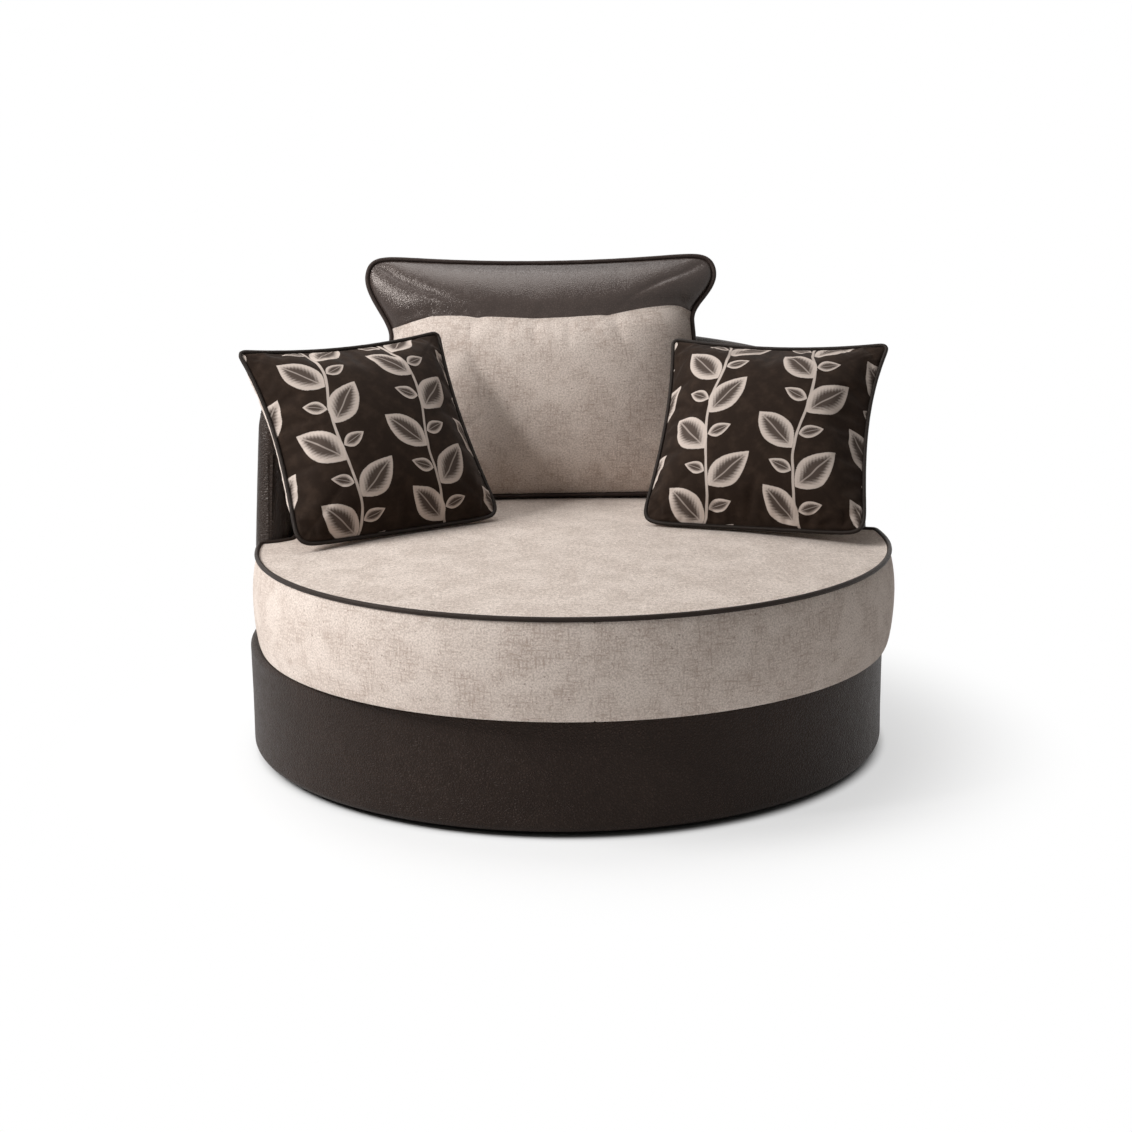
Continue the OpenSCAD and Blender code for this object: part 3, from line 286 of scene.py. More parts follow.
def makePrint(name, look=printLook):
    p = Paint(name)
    uv = p.coords("UV")
    across, up = look["across"], look["up"]
    sway = p.make("VectorMath", {0: p.noise(uv, 15.0, 1.0, output="Color"), "Scale": look["sway"]},
                  operation="SCALE")
    u, v = p.split(p.make("VectorMath", {0: uv, 1: sway}, operation="ADD"))
    columns = u / across
    column = p.math("FLOOR", columns)
    odd = p.math("FLOORED_MODULO", column, 2.0)
    x = (columns - column) * across
    x = x + odd * (across - x * 2.0)
    y = p.math("FRACT", v / up + odd * look["drop"]) * up
    pile = p.noise(uv, 950.0, 2.0, 0.7)
    threads = p.noise(p.stretched(uv, (180.0, 720.0, 1.0)), 1.0, 2.0, 0.6)
    ragged = (threads - 0.5) * 0.2
    color = p.mix(p.ramp(p.noise(uv, 30.0, 3.0, 0.6), 0.4, 0.7), look["ground"], look["deep"])
    off = x - across / 2 - p.math("SINE", y * (2 * math.pi / up)) * look["wave"]
    stem = 1.0 - p.math("ABSOLUTE", off) / look["stem"]
    color = p.mix(p.ramp(stem + ragged, 0.0, 0.35) * 0.9, color, look["leaf"])
    for shift in (0.0, up):
        spot = p.make("CombineXYZ", {0: x, 1: y + shift})
        for leaf in sprig:
            if shift and leaf[1] + leaf[3] < up:
                continue
            along, wide = leafSpace(p, spot, leaf, look)
            wide = p.math("ABSOLUTE", wide)
            field = 1.0 - along * along - wide * (1.0 + along * look["taper"]) + ragged * 0.5
            vein = p.math("SINE", (along - wide * 0.5) * (math.pi * look["veins"]))
            heart = p.ramp(field + (ragged + vein * 0.045), 0.17, 0.66)
            tone = p.mix(heart * 0.94, look["leaf"], look["shade"])
            rib = (1.0 - p.ramp(wide, 0.02, 0.07)) * p.ramp(field, 0.0, 0.3)
            tone = p.mix(rib * 0.5, tone, look["leaf"])
            color = p.mix(p.ramp(field, 0.0, 0.05), color, tone)
    normal = p.bump(threads * 0.6 + pile * 0.6, 0.0007, 0.7)
    return p.finish(color, 0.82 + pile * 0.14, normal, Sheen_Weight=0.03, Sheen_Roughness=0.5,
                    Specular_IOR_Level=0.1)


# plain finishes of the frame, the swivel and the zips
plyLook = {"face": (0.50, 0.33, 0.18), "dark": (0.36, 0.22, 0.11), "rough": 0.62}
timberLook = {"face": (0.56, 0.39, 0.22), "dark": (0.40, 0.26, 0.14), "rough": 0.66}
steelLook = {"zinc": (0.52, 0.53, 0.545), "bright": (0.66, 0.665, 0.67), "zip": (0.46, 0.43, 0.39)}
plasticLook = {"dark": (0.017, 0.017, 0.018), "scuffed": (0.035, 0.034, 0.033)}
zipLook = {"tape": (0.05, 0.042, 0.036), "teeth": (0.42, 0.38, 0.33), "pitch": 0.003}
threadLook = {"dark": (0.045, 0.035, 0.03), "light": (0.10, 0.08, 0.07)}


def makeWood(name, look, stretch):
    p = Paint(name)
    spot = p.coords()
    rings = p.noise(p.stretched(spot, stretch), 14.0, 5.0, 0.62, 0.9)
    pores = p.noise(p.stretched(spot, tuple(6.0 * k for k in stretch)), 60.0, 2.0, 0.6)
    color = p.mix(p.ramp(rings, 0.36, 0.66), look["face"], look["dark"])
    color = p.mix(p.ramp(pores, 0.6, 0.75) * 0.35, color, look["dark"])
    return p.finish(color, look["rough"] + rings * 0.15, p.bump(rings + pores, 0.0004, 0.5),
                    Specular_IOR_Level=0.3)


def makeSteel(name, color, rough, fine=420.0):
    p = Paint(name)
    spot = p.coords()
    brushed = p.noise(p.stretched(spot, (1.0, 16.0, 1.0)), fine, 2.0, 0.6)
    tone = p.mix(p.ramp(p.noise(spot, 34.0, 4.0, 0.6), 0.35, 0.7), color, tuple(0.82 * k for k in color))
    return p.finish(tone, rough + brushed * 0.14, p.bump(brushed, 0.0001, 0.5), Metallic=1.0)


def makePlastic(name, look=plasticLook):
    p = Paint(name)
    spot = p.coords()
    scuffs = p.noise(spot, 60.0, 4.0, 0.65)
    color = p.mix(p.ramp(scuffs, 0.5, 0.75), look["dark"], look["scuffed"])
    return p.finish(color, 0.42 + scuffs * 0.2, p.bump(p.noise(spot, 900.0, 2.0, 0.6), 0.0002, 0.5),
                    Specular_IOR_Level=0.5)


def makeFoam(name, color):
    p = Paint(name)
    spot = p.coords()
    holes = p.cells(spot, 620.0)
    tone = p.mix(p.ramp(p.noise(spot, 9.0, 3.0, 0.55), 0.35, 0.7), color, tuple(0.86 * k for k in color))
    tone = p.mix(p.ramp(holes, 0.45, 0.1) * 0.25, tone, tuple(0.6 * k for k in color))
    return p.finish(tone, 0.95, p.bump(holes, 0.0008, 0.6), Specular_IOR_Level=0.1)


def makeWoven(name, warp, weft, pitch):
    p = Paint(name)
    spot = p.coords()
    over, under = (p.math("SINE", way * (math.pi / pitch)) for way in p.split(spot))
    weave = over * under
    fuzz = p.noise(spot, 700.0, 2.0, 0.7)
    color = p.mix(p.ramp(weave + (fuzz - 0.5), -0.5, 0.5), warp, weft)
    return p.finish(color, 0.8 + fuzz * 0.1, p.bump(p.math("ABSOLUTE", weave) + fuzz, 0.0005, 0.6),
                    Specular_IOR_Level=0.2)


def makeZip(name, look=zipLook):
    p = Paint(name)
    spot = p.coords()
    x, y = p.split(spot)
    teeth = p.ramp(p.math("SINE", (x + y * 0.7) * (2 * math.pi / look["pitch"])), -0.3, 0.4)
    return p.finish(p.mix(teeth, look["tape"], look["teeth"]), 0.3 + p.noise(spot, 300.0, 3.0, 0.6) * 0.2,
                    p.bump(teeth, 0.0005, 0.9), Metallic=0.8)


def makeThread(name, look=threadLook):
    p = Paint(name)
    ply = p.noise(p.coords(), 1500.0, 2.0, 0.6)
    color = p.mix(p.ramp(ply, 0.35, 0.65), look["dark"], look["light"])
    return p.finish(color, 0.7, p.bump(ply, 0.0002, 0.6), Specular_IOR_Level=0.3)


paints = {
    "cream_chenille": makeChenille("creamChenille"),
    "brown_leather": makeLeather("brownLeather"),
    "piping_leather": makeLeather("pipingLeather", pipingLook),
    "leaf_print": makePrint("leafPrint"),
    "plywood": makeWood("birchPly", plyLook, (1.0, 9.0, 9.0)),
    "timber": makeWood("beechTimber", timberLook, (7.0, 7.0, 1.0)),
    "zinc_steel": makeSteel("zincSteel", steelLook["zinc"], 0.34),
    "bright_steel": makeSteel("brightSteel", steelLook["bright"], 0.2, 700.0),
    "black_plastic": makePlastic("blackPlastic"),
    "black_cloth": makeWoven("blackCloth", (0.012, 0.012, 0.013), (0.024, 0.023, 0.022), 0.0016),
    "foam": makeFoam("cushionFoam", (0.80, 0.74, 0.52)),
    "cushion_fibre": makeFoam("fibreWadding", (0.84, 0.83, 0.79)),
    "webbing": makeWoven("tanWebbing", (0.28, 0.20, 0.12), (0.16, 0.11, 0.065), 0.0028),
    "zip_metal": makeZip("zipTeeth"),
    "zip_slider_metal": makeSteel("zipSlider", steelLook["zip"], 0.28, 900.0),
}
seatChenille = makeChenille("seatChenille", seatTopLook)
# the head's lighter copy of the leather, with painted sheen
headLeather = makeLeather("headLeather", headLook)
shellLeather = makeLeather("shellLeather", shellLook)
trimLeather = makeLeather("trimLeather", trimLook)
headTrim = makeLeather("headTrimLeather", headTrimLook)
threadPaint = makeThread("brownThread")
for subpart in frame["record"]["subparts"]:
    shown = nodes[subpart["node"]]
    shown.data.materials.clear()
    shown.data.materials.append(paints[subpart["material_slot"]])
print("finishes made:", len(paints))


# floor: painted shadow under the chair, where its colour is darkened, pale near it so that it keeps the
# shadow, plain white further out
floorLook = {"size": 24.0, "pale": (0.93, 0.928, 0.925), "near": (0.566, 0.600), "from": 0.60, "to": 0.96,
             "least": 0.62, "paintedShadow": (0.55, 0.585), "dark": 0.12}


def addFloor():
    half, pale = floorLook["size"], floorLook["pale"]
    corners = [(-half, -half, 0), (half, -half, 0), (half, half, 0), (-half, half, 0)]
    mesh = bpy.data.meshes.new("paleFloor")
    mesh.from_pydata(corners, [], [(0, 1, 2, 3)])
    ob = bpy.data.objects.new("paleFloor", mesh)
    bpy.context.scene.collection.objects.link(ob)
    p = Paint("paleFloor")
    spot = p.coords()
    away = p.make("VectorMath", {0: spot}, "Value", operation="LENGTH")
    far = floorLook["least"] + p.ramp(away, floorLook["from"], floorLook["to"]) * (1.0 - floorLook["least"])
    far = far * p.ramp(away, *floorLook["near"])
    tone = p.mix(p.noise(spot, 180.0, 2.0, 0.5), pale, tuple(0.985 * k for k in pale))
    # painted shadow: the floor's colour is darkened to a small share of its pale tone under the drum
    tone = p.mix(p.ramp(away, *floorLook["paintedShadow"]), tuple(floorLook["dark"] * k for k in pale), tone)
    p.finish(tone, 0.8, Specular_IOR_Level=0.1)
    glow = p.make("Emission", {"Color": white})
    lit = Flow(p, p.surface.outputs[0])
    p.put(p.tree.nodes["Material Output"].inputs["Surface"],
          p.make("MixShader", {0: far * p.seenRays(), 1: lit, 2: glow}))
    mesh.materials.append(p.mat)


addFloor()


# making pieces from grids of points (mm)
def eased(a, b, n):
    return a + (b - a) * (1 - np.cos(np.pi * np.arange(n + 1) / n)) / 2


def spaced(a, b, n, share):
    # steps from a to b, drawn in towards both ends by a share
    return share * eased(a, b, n) + (1 - share) * np.linspace(a, b, n + 1)


def smooth(t):
    k = np.clip(t, 0, 1)
    return k * k * (3 - 2 * k)


def ripple(x, y, z):
    # soft noise from -1 to 1 along a row
    return np.array([noise.noise(Vector(q)) for q in np.broadcast(x, y, z)])


def waves(points, size, seed):
    # soft noise from -1 to 1 at each point
    return ripple(*(points.reshape(-1, 3) / size + seed).T).reshape(points.shape[:-1])


def unit(v):
    return v / np.linalg.norm(v, axis=-1)[..., None]


def runAlong(path):
    # the length of a path, or of each column of a grid, up to each point
    steps = np.linalg.norm(np.diff(path, axis=0), axis=-1)
    return np.concatenate([0 * steps[:1], np.cumsum(steps, axis=0)])


def pointsAt(at, run, path):
    return np.stack([np.interp(at, run, path[:, k]) for k in range(3)], axis=-1)


def rim(shape):
    # true in the outermost rows and columns
    edge = np.ones(shape, bool)
    edge[1:-1, 1:-1] = False
    return edge


def gridUv(grid):
    # lengths along the rows and the columns, from the middle of the grid
    u, v = runAlong(grid.swapaxes(0, 1)).T, runAlong(grid)
    return np.dstack([u - u[:, [u.shape[1] // 2]], v - v[v.shape[0] // 2]])


def meshFrom(name, points, faces, uv, paint):
    mesh = bpy.data.meshes.new(name)
    mesh.from_pydata([tuple(q) for q in np.asarray(points).reshape(-1, 3) / 1000.0], [], faces)
    if uv is not None:
        layer = mesh.uv_layers.new(name="UVMap")
        loops = np.zeros(len(mesh.loops), dtype=np.int32)
        mesh.loops.foreach_get("vertex_index", loops)
        layer.data.foreach_set("uv", (uv.reshape(-1, 2) / 1000.0)[loops].ravel())
    mesh.materials.append(paint)
    mesh.update()
    mesh.polygons.foreach_set("use_smooth", [True] * len(mesh.polygons))
    ob = bpy.data.objects.new(name, mesh)
    bpy.context.scene.collection.objects.link(ob)
    return ob


def gridFaces(rows, cols, flip=False):
    corners = [j * cols + i for j in range(rows - 1) for i in range(cols - 1)]
    faces = [(k, k + 1, k + cols + 1, k + cols) for k in corners]
    return [face[::-1] for face in faces] if flip else faces


def finishPiece(ob, body, stands, refine):
    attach(ob, body)
    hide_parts(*stands)
    if refine:
        finer = ob.modifiers.new("finer", "SUBSURF")
        finer.levels = finer.render_levels = refine
    return ob


def gridPiece(name, grid, body, slotName, stands, flip=False, refine=1, uv=None, paint=None):
    uv = gridUv(grid) if uv is None else uv
    ob = meshFrom(name, grid, gridFaces(*grid.shape[:2], flip), uv, paint or paints[slotName])
    return finishPiece(ob, body, stands, refine)


# piping: a closed tube whose thickness wavers a little
tube = {"sides": 12, "waver": 0.035, "waverSize": 14.0, "weld": 0.00002}


def pipingPiece(name, path, normal, radius, body, stands, paint=None):
    ahead = unit(np.roll(path, -1, axis=0) - np.roll(path, 1, axis=0))
    out = unit(np.cross(ahead, normal))
    up = np.cross(out, ahead)
    turns = 2 * math.pi * np.arange(tube["sides"] + 1) / tube["sides"]
    thick = (radius * (1 + tube["waver"] * waves(path, tube["waverSize"], 3.1)))[:, None]
    rings = np.array([path + thick * (math.cos(b) * out + math.sin(b) * up) for b in turns])
    rings = np.concatenate([rings, rings[:, :1]], axis=1)
    along = runAlong(np.concatenate([path, path[:1]]))
    uv = np.dstack(np.meshgrid(along, radius * turns))
    ob = meshFrom(name, rings, gridFaces(*rings.shape[:2]), uv, paint or paints["piping_leather"])
    weld = ob.modifiers.new("weld", "WELD")
    weld.merge_threshold = tube["weld"]
    finishPiece(ob, body, stands, 0)


# cloth: a panel pinned at its seams swells under pressure, and puckers because it is cut a little large
clothLook = {"pressure": 4.0, "frames": 18, "mass": 0.25, "stretch": 12.0, "bend": 0.45, "quality": 5}


def swell(panel, pinned, spare, cap):
    ob = meshFrom("panel", panel, gridFaces(*panel.shape[:2]), None, paints["foam"])
    seam = ob.vertex_groups.new(name="seam")
    seam.add([int(k) for k in np.flatnonzero(pinned)], 1.0, "REPLACE")
    cloth = ob.modifiers.new("cloth", "CLOTH")
    s = cloth.settings
    s.quality, s.mass, s.vertex_group_mass = clothLook["quality"], clothLook["mass"], "seam"
    s.effector_weights.gravity = 0
    s.use_pressure, s.uniform_pressure_force = True, clothLook["pressure"]
    s.shrink_min = -spare
    s.tension_stiffness = s.compression_stiffness = clothLook["stretch"]
    s.shear_stiffness, s.bending_stiffness = clothLook["stretch"] / 2, clothLook["bend"]
    cloth.collision_settings.use_collision = False
    cloth.point_cache.frame_start, cloth.point_cache.frame_end = 1, clothLook["frames"]
    scene = bpy.context.scene
    for k in range(1, clothLook["frames"] + 1):
        scene.frame_set(k)
    posed = ob.evaluated_get(bpy.context.evaluated_depsgraph_get()).data
    found = np.zeros(len(posed.vertices) * 3)
    posed.vertices.foreach_get("co", found)
    mesh = ob.data
    bpy.data.objects.remove(ob)
    bpy.data.meshes.remove(mesh)
    scene.frame_set(1)
    move = found.reshape(panel.shape) * 1000.0 - panel
    far = np.linalg.norm(move, axis=2)
    print("  panel swelled by", round(float(far.max()), 1), "mm before the cap")
    return panel + move * (cap * np.tanh(far / cap) / np.maximum(far, 1e-9))[:, :, None]


# seat cushion: crowned top, bulging border, piping on the upper edge (mm and degrees)
seat = {"bottom": 208.5, "edge": 375.0, "crown": 22.0, "crownPower": 2.5, "rear": 515.5, "front": 585.0,
        "middle": (10.0, -45.0), "swell": 12.0, "flank": (87.3, 90.3), "blend": 60.0, "piping": 4.5,
        "seam": 4.1, "rays": 480, "levels": 34, "hollow": 1.3, "gather": 1.5, "dent": 1.6, "zip": 228.5,
        "zipTuck": 1.2, "zipWide": 9.0, "zipFrom": 120.0}


def frontReach(a, r):
    x, y = seat["middle"]
    b = x * np.sin(np.radians(a)) + y * np.cos(np.radians(a))
    return b + np.sqrt(r * r - x * x - y * y + b * b)


def seatReach(a, full):
    low, high = seat["flank"]
    rear = seat["rear"] - seat["swell"] * (1 - full)
    front = frontReach(a, seat["front"] - seat["swell"] * (1 - full))
    return rear + (front - rear) * smooth((np.abs(a) - low) / (high - low))


def crownReach(a):
    rear = seat["rear"] - seat["swell"]
    front = frontReach(a, seat["front"] - seat["swell"])
    return rear + (front - rear) * smooth((np.abs(a) - seat["blend"]) / seat["blend"])


def crownShare(x, y):
    return np.minimum(1, np.hypot(x, y) / crownReach(np.degrees(np.arctan2(x, y))))


def seatTop(x, y):
    return seat["edge"] + seat["crown"] * (1 - crownShare(x, y) ** seat["crownPower"])


def seatRest(x, y):
    # the solid's top, which is straight between its steps
    stops = np.array([0, 0.55, 0.88, 1])
    high = 1 - np.append(0, stops[1:] ** seat["crownPower"])
    return seat["edge"] + seat["crown"] * np.interp(crownShare(x, y), stops, high)


def softCrown(x, y):
    # the same crown with its flats rounded off, never above them
    share = crownShare(x, y)
    stops = np.array([-1, -0.88, -0.55, 0, 0.55, 0.88, 1, 1.2])
    high = np.array([0, 0.2736, 0.7757, 1, 0.7757, 0.2736, 0, -0.456])
    width = np.minimum(0.09, 0.02 + 0.5 * (1 - share))
    mean = np.mean([np.interp(share + k * width, stops, high) for k in np.linspace(-1, 1, 11)], axis=0)
    return seat["edge"] + seat["crown"] * mean


def onRay(a, r, z):
    return np.stack(np.broadcast_arrays(r * np.sin(np.radians(a)), r * np.cos(np.radians(a)), z), axis=-1)


def raysRound(n):
    return 360 * np.arange(n + 1) / n


def seamHeight(a):
    p = onRay(a, seatReach(a, 0), 0)
    return seatTop(p[..., 0], p[..., 1])


def pressIn(wall, depth):
    # a wall round the axis is moved in by a depth at each point, and closed
    wall[..., :2] -= unit(wall[..., :2]) * depth[..., None]
    wall[:, -1] = wall[:, 0]


def addSeatTop(a):
    edge = seatReach(a, 0) - seat["seam"]
    shares = np.concatenate([[0.002], 0.06 + 0.94 * (1 - (1 - np.linspace(0, 1, 30)) ** 1.8)])
    top = np.array([onRay(a, s * edge, 0) for s in shares])
    inset = edge - np.linalg.norm(top[..., :2], axis=2)
    gathers = 0.5 + 0.5 * ripple(a * 9.6 / 10 * 0.9, 4.0, 0.0)
    high = softCrown(top[..., 0], top[..., 1])
    high = high - seat["hollow"] * (1 + waves(top, 190.0, 1.7)) * (1 - np.exp(-inset / 30.0))
    high = high - seat["gather"] * gathers * np.exp(-inset / 11.0) * (1 - np.exp(-inset / 3.0))
    high[-1] = seamHeight(a)
    top[..., 2] = high
    top[:, -1] = top[:, 0]
    gridPiece("seatTopPanel", top, "seat_cushion", "cream_chenille", ("seat_top_panel", "seat_foam"),
              flip=True, uv=top[..., :2], paint=seatChenille)


def addSeatBorder(a):
    levels = np.linspace(1, 0, seat["levels"])
    rise = seamHeight(a) - seat["seam"] - seat["bottom"]
    fullness = np.maximum(0.0, np.sin(np.pi * levels)) ** 0.7
    border = np.array([onRay(a, seatReach(a, full), seat["bottom"] + k * rise)
                       for k, full in zip(levels, fullness)])
    dents = seat["dent"] * (1 + waves(border, 150.0, 5.2)) * np.sin(np.pi * levels)[:, None]
    pull = seat["dent"] * (0.5 + 0.5 * ripple(a * 0.8, 9.0, 2.0))
    nearSeam = np.exp(-(1 - levels) * 9.0) * (1 - np.exp(-(1 - levels) * 60.0))
    fromZip = (border[..., 2] - seat["zip"]) / seat["zipWide"]
    tuck = seat["zipTuck"] * np.exp(-fromZip ** 2) * smooth((np.abs(a) - seat["zipFrom"]) / 4)
    pressIn(border, dents + pull * nearSeam[:, None] + tuck)
    run, down = runAlong(border[len(levels) // 2]), -runAlong(border[:, 0])
    gridPiece("seatBorder", border, "seat_cushion", "cream_chenille", ("seat_border",), flip=True,
              uv=np.dstack(np.meshgrid(run, down)))


def addSeat():
    a = 180 - raysRound(seat["rays"])
    addSeatTop(a)
    addSeatBorder(a)
    shares = np.linspace(1, 0.002, 12)
    under = np.array([onRay(a, s * (seatReach(a, 0) - 0.5), seat["bottom"]) for s in shares])
    gridPiece("seatUnderside", under, "seat_cushion", "cream_chenille", ("seat_underside",), refine=0,
              uv=under[..., :2])
    ring = a[:-1]
    path = onRay(ring, seatReach(ring, 0), seamHeight(ring))
    pipingPiece("seatPiping", path, (0, 0, 1), seat["piping"], "seat_cushion", ("seat_piping",))


addSeat()
print("seat cushion made")


# leaning cushions: place and lean are those of the solids (mm and degrees)
cushionEdge = {"skin": 1.75, "seamDepth": 0.4, "pipeGap": 4.8, "clear": 0.3, "traceStep": 4.0,
               "pipeStep": 3.5}


def leanPlace(p, turn, lean, roll, at):
    t, l, r = np.radians([turn, lean, roll])
    x = p[..., 0] * np.cos(r) - p[..., 1] * np.sin(r)
    y = p[..., 0] * np.sin(r) + p[..., 1] * np.cos(r)
    rear = y * np.sin(l) - p[..., 2] * np.cos(l)
    up = y * np.cos(l) + p[..., 2] * np.sin(l)
    return np.stack([at[0] + x * np.cos(t) - rear * np.sin(t), at[1] + x * np.sin(t) + rear * np.cos(t),
                     at[2] + up], axis=-1)


def planeNormal(turn, lean, roll):
    return leanPlace(np.array([0.0, 0.0, 1.0]), turn, lean, roll, (0, 0, 0))


def roundedSquare(u, v, sharp=16):
    most = np.maximum(np.abs(u), np.abs(v))
    rounded = (np.abs(u) ** sharp + np.abs(v) ** sharp) ** (1 / sharp)
    k = np.where(most == 0, 1, most / np.maximum(rounded, 1e-12))
    return k * u, k * v


def plump(u, v):
    return np.maximum(0, (1 - np.abs(u) ** 2.2) * (1 - np.abs(v) ** 2.2)) ** 0.6


def outlineOf(grid):
    return np.concatenate([grid[0, :-1], grid[:-1, -1], grid[-1, :0:-1], grid[:0:-1, 0]])


def outsetPath(path, away):
    ahead = np.roll(path, -1, axis=0) - np.roll(path, 1, axis=0)
    moved = path.copy()
    moved[:, :2] += unit(np.stack([ahead[:, 1], -ahead[:, 0]], axis=1)) * away
    return moved


def evenLoop(path, step):
    closed = np.concatenate([path, path[:1]])
    run = runAlong(closed)
    return pointsAt(np.linspace(0, run[-1], int(run[-1] / step) + 1)[:-1], run, closed)


def pipePath(x, y, away, pose):
    # the line of a cushion's piping, just outside its outline
    flat = outlineOf(np.stack([x, y, 0 * x], axis=-1))
    traced = outsetPath(evenLoop(flat, cushionEdge["traceStep"]), away)
    return leanPlace(evenLoop(traced, cushionEdge["pipeStep"]), *pose)


def keepDepth(panel, edge, full, least, over, way):
    # between a share of the solid's depth and a little over it, and at its seam on the edge
    skin = cushionEdge["skin"]
    panel[..., 2] = way * np.clip(way * panel[..., 2], skin + least * full - 1.0, skin + full + over)
    panel[edge, 2] = way * cushionEdge["seamDepth"]


def seamGathers(grid, depth, reach, pitch, seed):
    # little pulls that run in from the outline of a panel
    edge = outlineOf(grid)
    flat = grid.reshape(-1, 3)[:, :2]
    gap, where = np.empty(len(flat)), np.empty(len(flat), dtype=int)
    block = 2000
    for k in range(0, len(flat), block):
        d = np.linalg.norm(flat[k:k + block, None] - edge[None, :, :2], axis=2)
        gap[k:k + block], where[k:k + block] = d.min(axis=1), d.argmin(axis=1)
    pull = 0.5 + 0.5 * ripple(runAlong(edge)[where] / pitch, seed, gap / 60.0)
    fade = np.exp(-gap / reach) * (1 - np.exp(-gap / 4.0))
    return (depth * pull * fade).reshape(grid.shape[:2])


# back cushion: leather head over a wavy seam, chenille below it and behind
backCushion = {"turn": -2.0, "lean": 18.5, "x": -19.03, "y": 300.02, "height": 482.0, "ear": 347.84,
               "waist": 298.99, "lower": 307.98, "waistHeight": 329.98, "front": 94.97, "rear": 125.01,
               "dip": 17.01, "headSeam": 0.72, "channel": 12.0, "channelWide": 0.05, "piping": 4.5,
               "beside": 4.0, "columns": 84, "rows": 62, "headRows": 28, "shellReach": 513.6,
               "clearOfShell": 726.12,
               "frontCloth": {"spare": 0.014, "cap": 8.0}, "rearCloth": {"spare": 0.02, "cap": 6.0},
               "frontGathers": {"depth": 2.4, "reach": 15.0, "pitch": 15.0, "seed": 2.0},
               "rearGathers": {"depth": 2.4, "reach": 14.0, "pitch": 13.0, "seed": 6.0},
               "creases": 0.7, "headLoses": 0.55, "headGathers": 0.3}
headSeamCurve = [(-335, 336), (-289, 338), (-221, 352), (-187, 351), (-105, 345), (-17, 339), (45, 341),
                 (104, 345), (155, 352), (205, 363), (252, 371), (277, 372), (309, 362), (345, 352)]


def backHalfWidth(y):
    b, waist, level = backCushion, backCushion["waist"], backCushion["waistHeight"]
    upper = waist + (b["ear"] - waist) * smooth((y - level) / (0.93 * b["height"] - level))
    lower = waist + (b["lower"] - waist) * np.sin(np.pi / 2 * np.clip((level - y) / (0.6 * level), 0, 1))
    return np.where(y > level, upper, lower)


def backPlane(u, v):
    q0, q1 = roundedSquare(u, v)
    t = (q1 + 1) / 2
    y = backCushion["height"] * t
    return backHalfWidth(y) * q0, y - backCushion["dip"] * (1 - q0 * q0) * t ** 3


def backPlace():
    b = backCushion
    x = b["x"] + np.arange(-1, 1.01, 0.25) * b["lower"]
    rest = float(np.max(seatRest(x, np.full_like(x, b["y"]))))
    tilt = cushionEdge["pipeGap"] * math.cos(math.radians(b["lean"]))
    return (b["x"], b["y"], rest + cushionEdge["clear"] + b["piping"] + tilt)


backPose = (backCushion["turn"], backCushion["lean"], 0.0, backPlace())


def backFrontDepth(u, v):
    b, shape = backCushion, plump(u, v)
    fromSeam = ((v + 1) / 2 - b["headSeam"]) / b["channelWide"]
    return b["front"] * shape - b["channel"] * np.sqrt(shape) * np.exp(-fromSeam ** 2)


def backRearDepth(u, v):
    b = backCushion
    x, y = backPlane(u, v)
    p = leanPlace(np.stack([x, y, 0 * x], axis=-1), *backPose)
    wall = np.sqrt(np.maximum(0, b["shellReach"] ** 2 - p[..., 0] ** 2))
    above = np.maximum(0, p[..., 2] - b["clearOfShell"])
    room = (wall - p[..., 1]) / math.cos(math.radians(b["lean"])) + above
    return np.maximum(0, np.minimum(b["rear"] * plump(u, v), room))


def backGrid():
    # the cushion's rows and columns, with one row moved onto the head seam
    b, seam = backCushion, backCushion["headSeam"]
    low, high = spaced(-1, 2 * seam - 1, b["rows"], 0.4), spaced(2 * seam - 1, 1, b["headRows"], 0.4)
    u, v = np.meshgrid(spaced(-1, 1, b["columns"], 0.35), np.concatenate([low, high[1:]]))
    x, y = backPlane(u, v)
    seamX, seamY = np.array(headSeamCurve, float).T
    shift = np.interp(x, seamX, seamY) - (seam * b["height"] - 6.3 * (1 - (x / 300.0) ** 2).clip(0, 1))
    t = (v + 1) / 2
    return u, v, x, y + shift * np.where(t < seam, smooth(t / seam), smooth((1 - t) / (1 - seam)))


def addBackCushion():
    b, cut, skin = backCushion, backCushion["rows"], cushionEdge["skin"]
    u, v, x, y = backGrid()
    aboveSeam = (v + 1) / 2 - b["headSeam"]
    edge = rim(u.shape)
    held = edge.copy()
    held[cut] = True
    full = backFrontDepth(u, v)
    front = np.stack([x, y, skin + 0.965 * full], axis=-1)
    # the leather head is drawn tight, so it keeps less of the cloth's creases
    kept = b["creases"] - b["headLoses"] * smooth(aboveSeam / 0.04)
    front = front + (swell(front, held, **b["frontCloth"]) - front) * kept[..., None]
    front[..., 2] -= seamGathers(front, **b["frontGathers"]) * np.where(aboveSeam > 0, b["headGathers"], 1.0)
    front[..., 2] -= np.sqrt(plump(u, v)) * (1 + waves(front, 95.0, 8.4))
    keepDepth(front, edge, full, 0.75, 4.0, 1)
    full = backRearDepth(u, v)
    rear = np.stack([x, y, -(skin + 0.96 * full)], axis=-1)
    rear = swell(rear[:, ::-1], edge, **b["rearCloth"])[:, ::-1]
    rear[..., 2] += seamGathers(rear, **b["rearGathers"])
    keepDepth(rear, edge, full, 0.8, 0.0, -1)
    front, rear = leanPlace(front, *backPose), leanPlace(rear, *backPose)
    gridPiece("backCushionFront", front[:cut + 1], "back_cushion", "cream_chenille",
              ("back_cushion_front", "back_cushion_fill"))
    gridPiece("backCushionHead", front[cut:], "back_cushion", "brown_leather", ("back_cushion_head",),
              paint=headLeather)
    gridPiece("backCushionReverse", rear, "back_cushion", "cream_chenille", ("back_cushion_reverse",),
              flip=True)
    pipingPiece("backCushionPiping", pipePath(x, y, b["beside"], backPose), planeNormal(*backPose[:3]),
                b["piping"], "back_cushion", ("back_cushion_piping",), headTrim)


addBackCushion()
print("back cushion made")


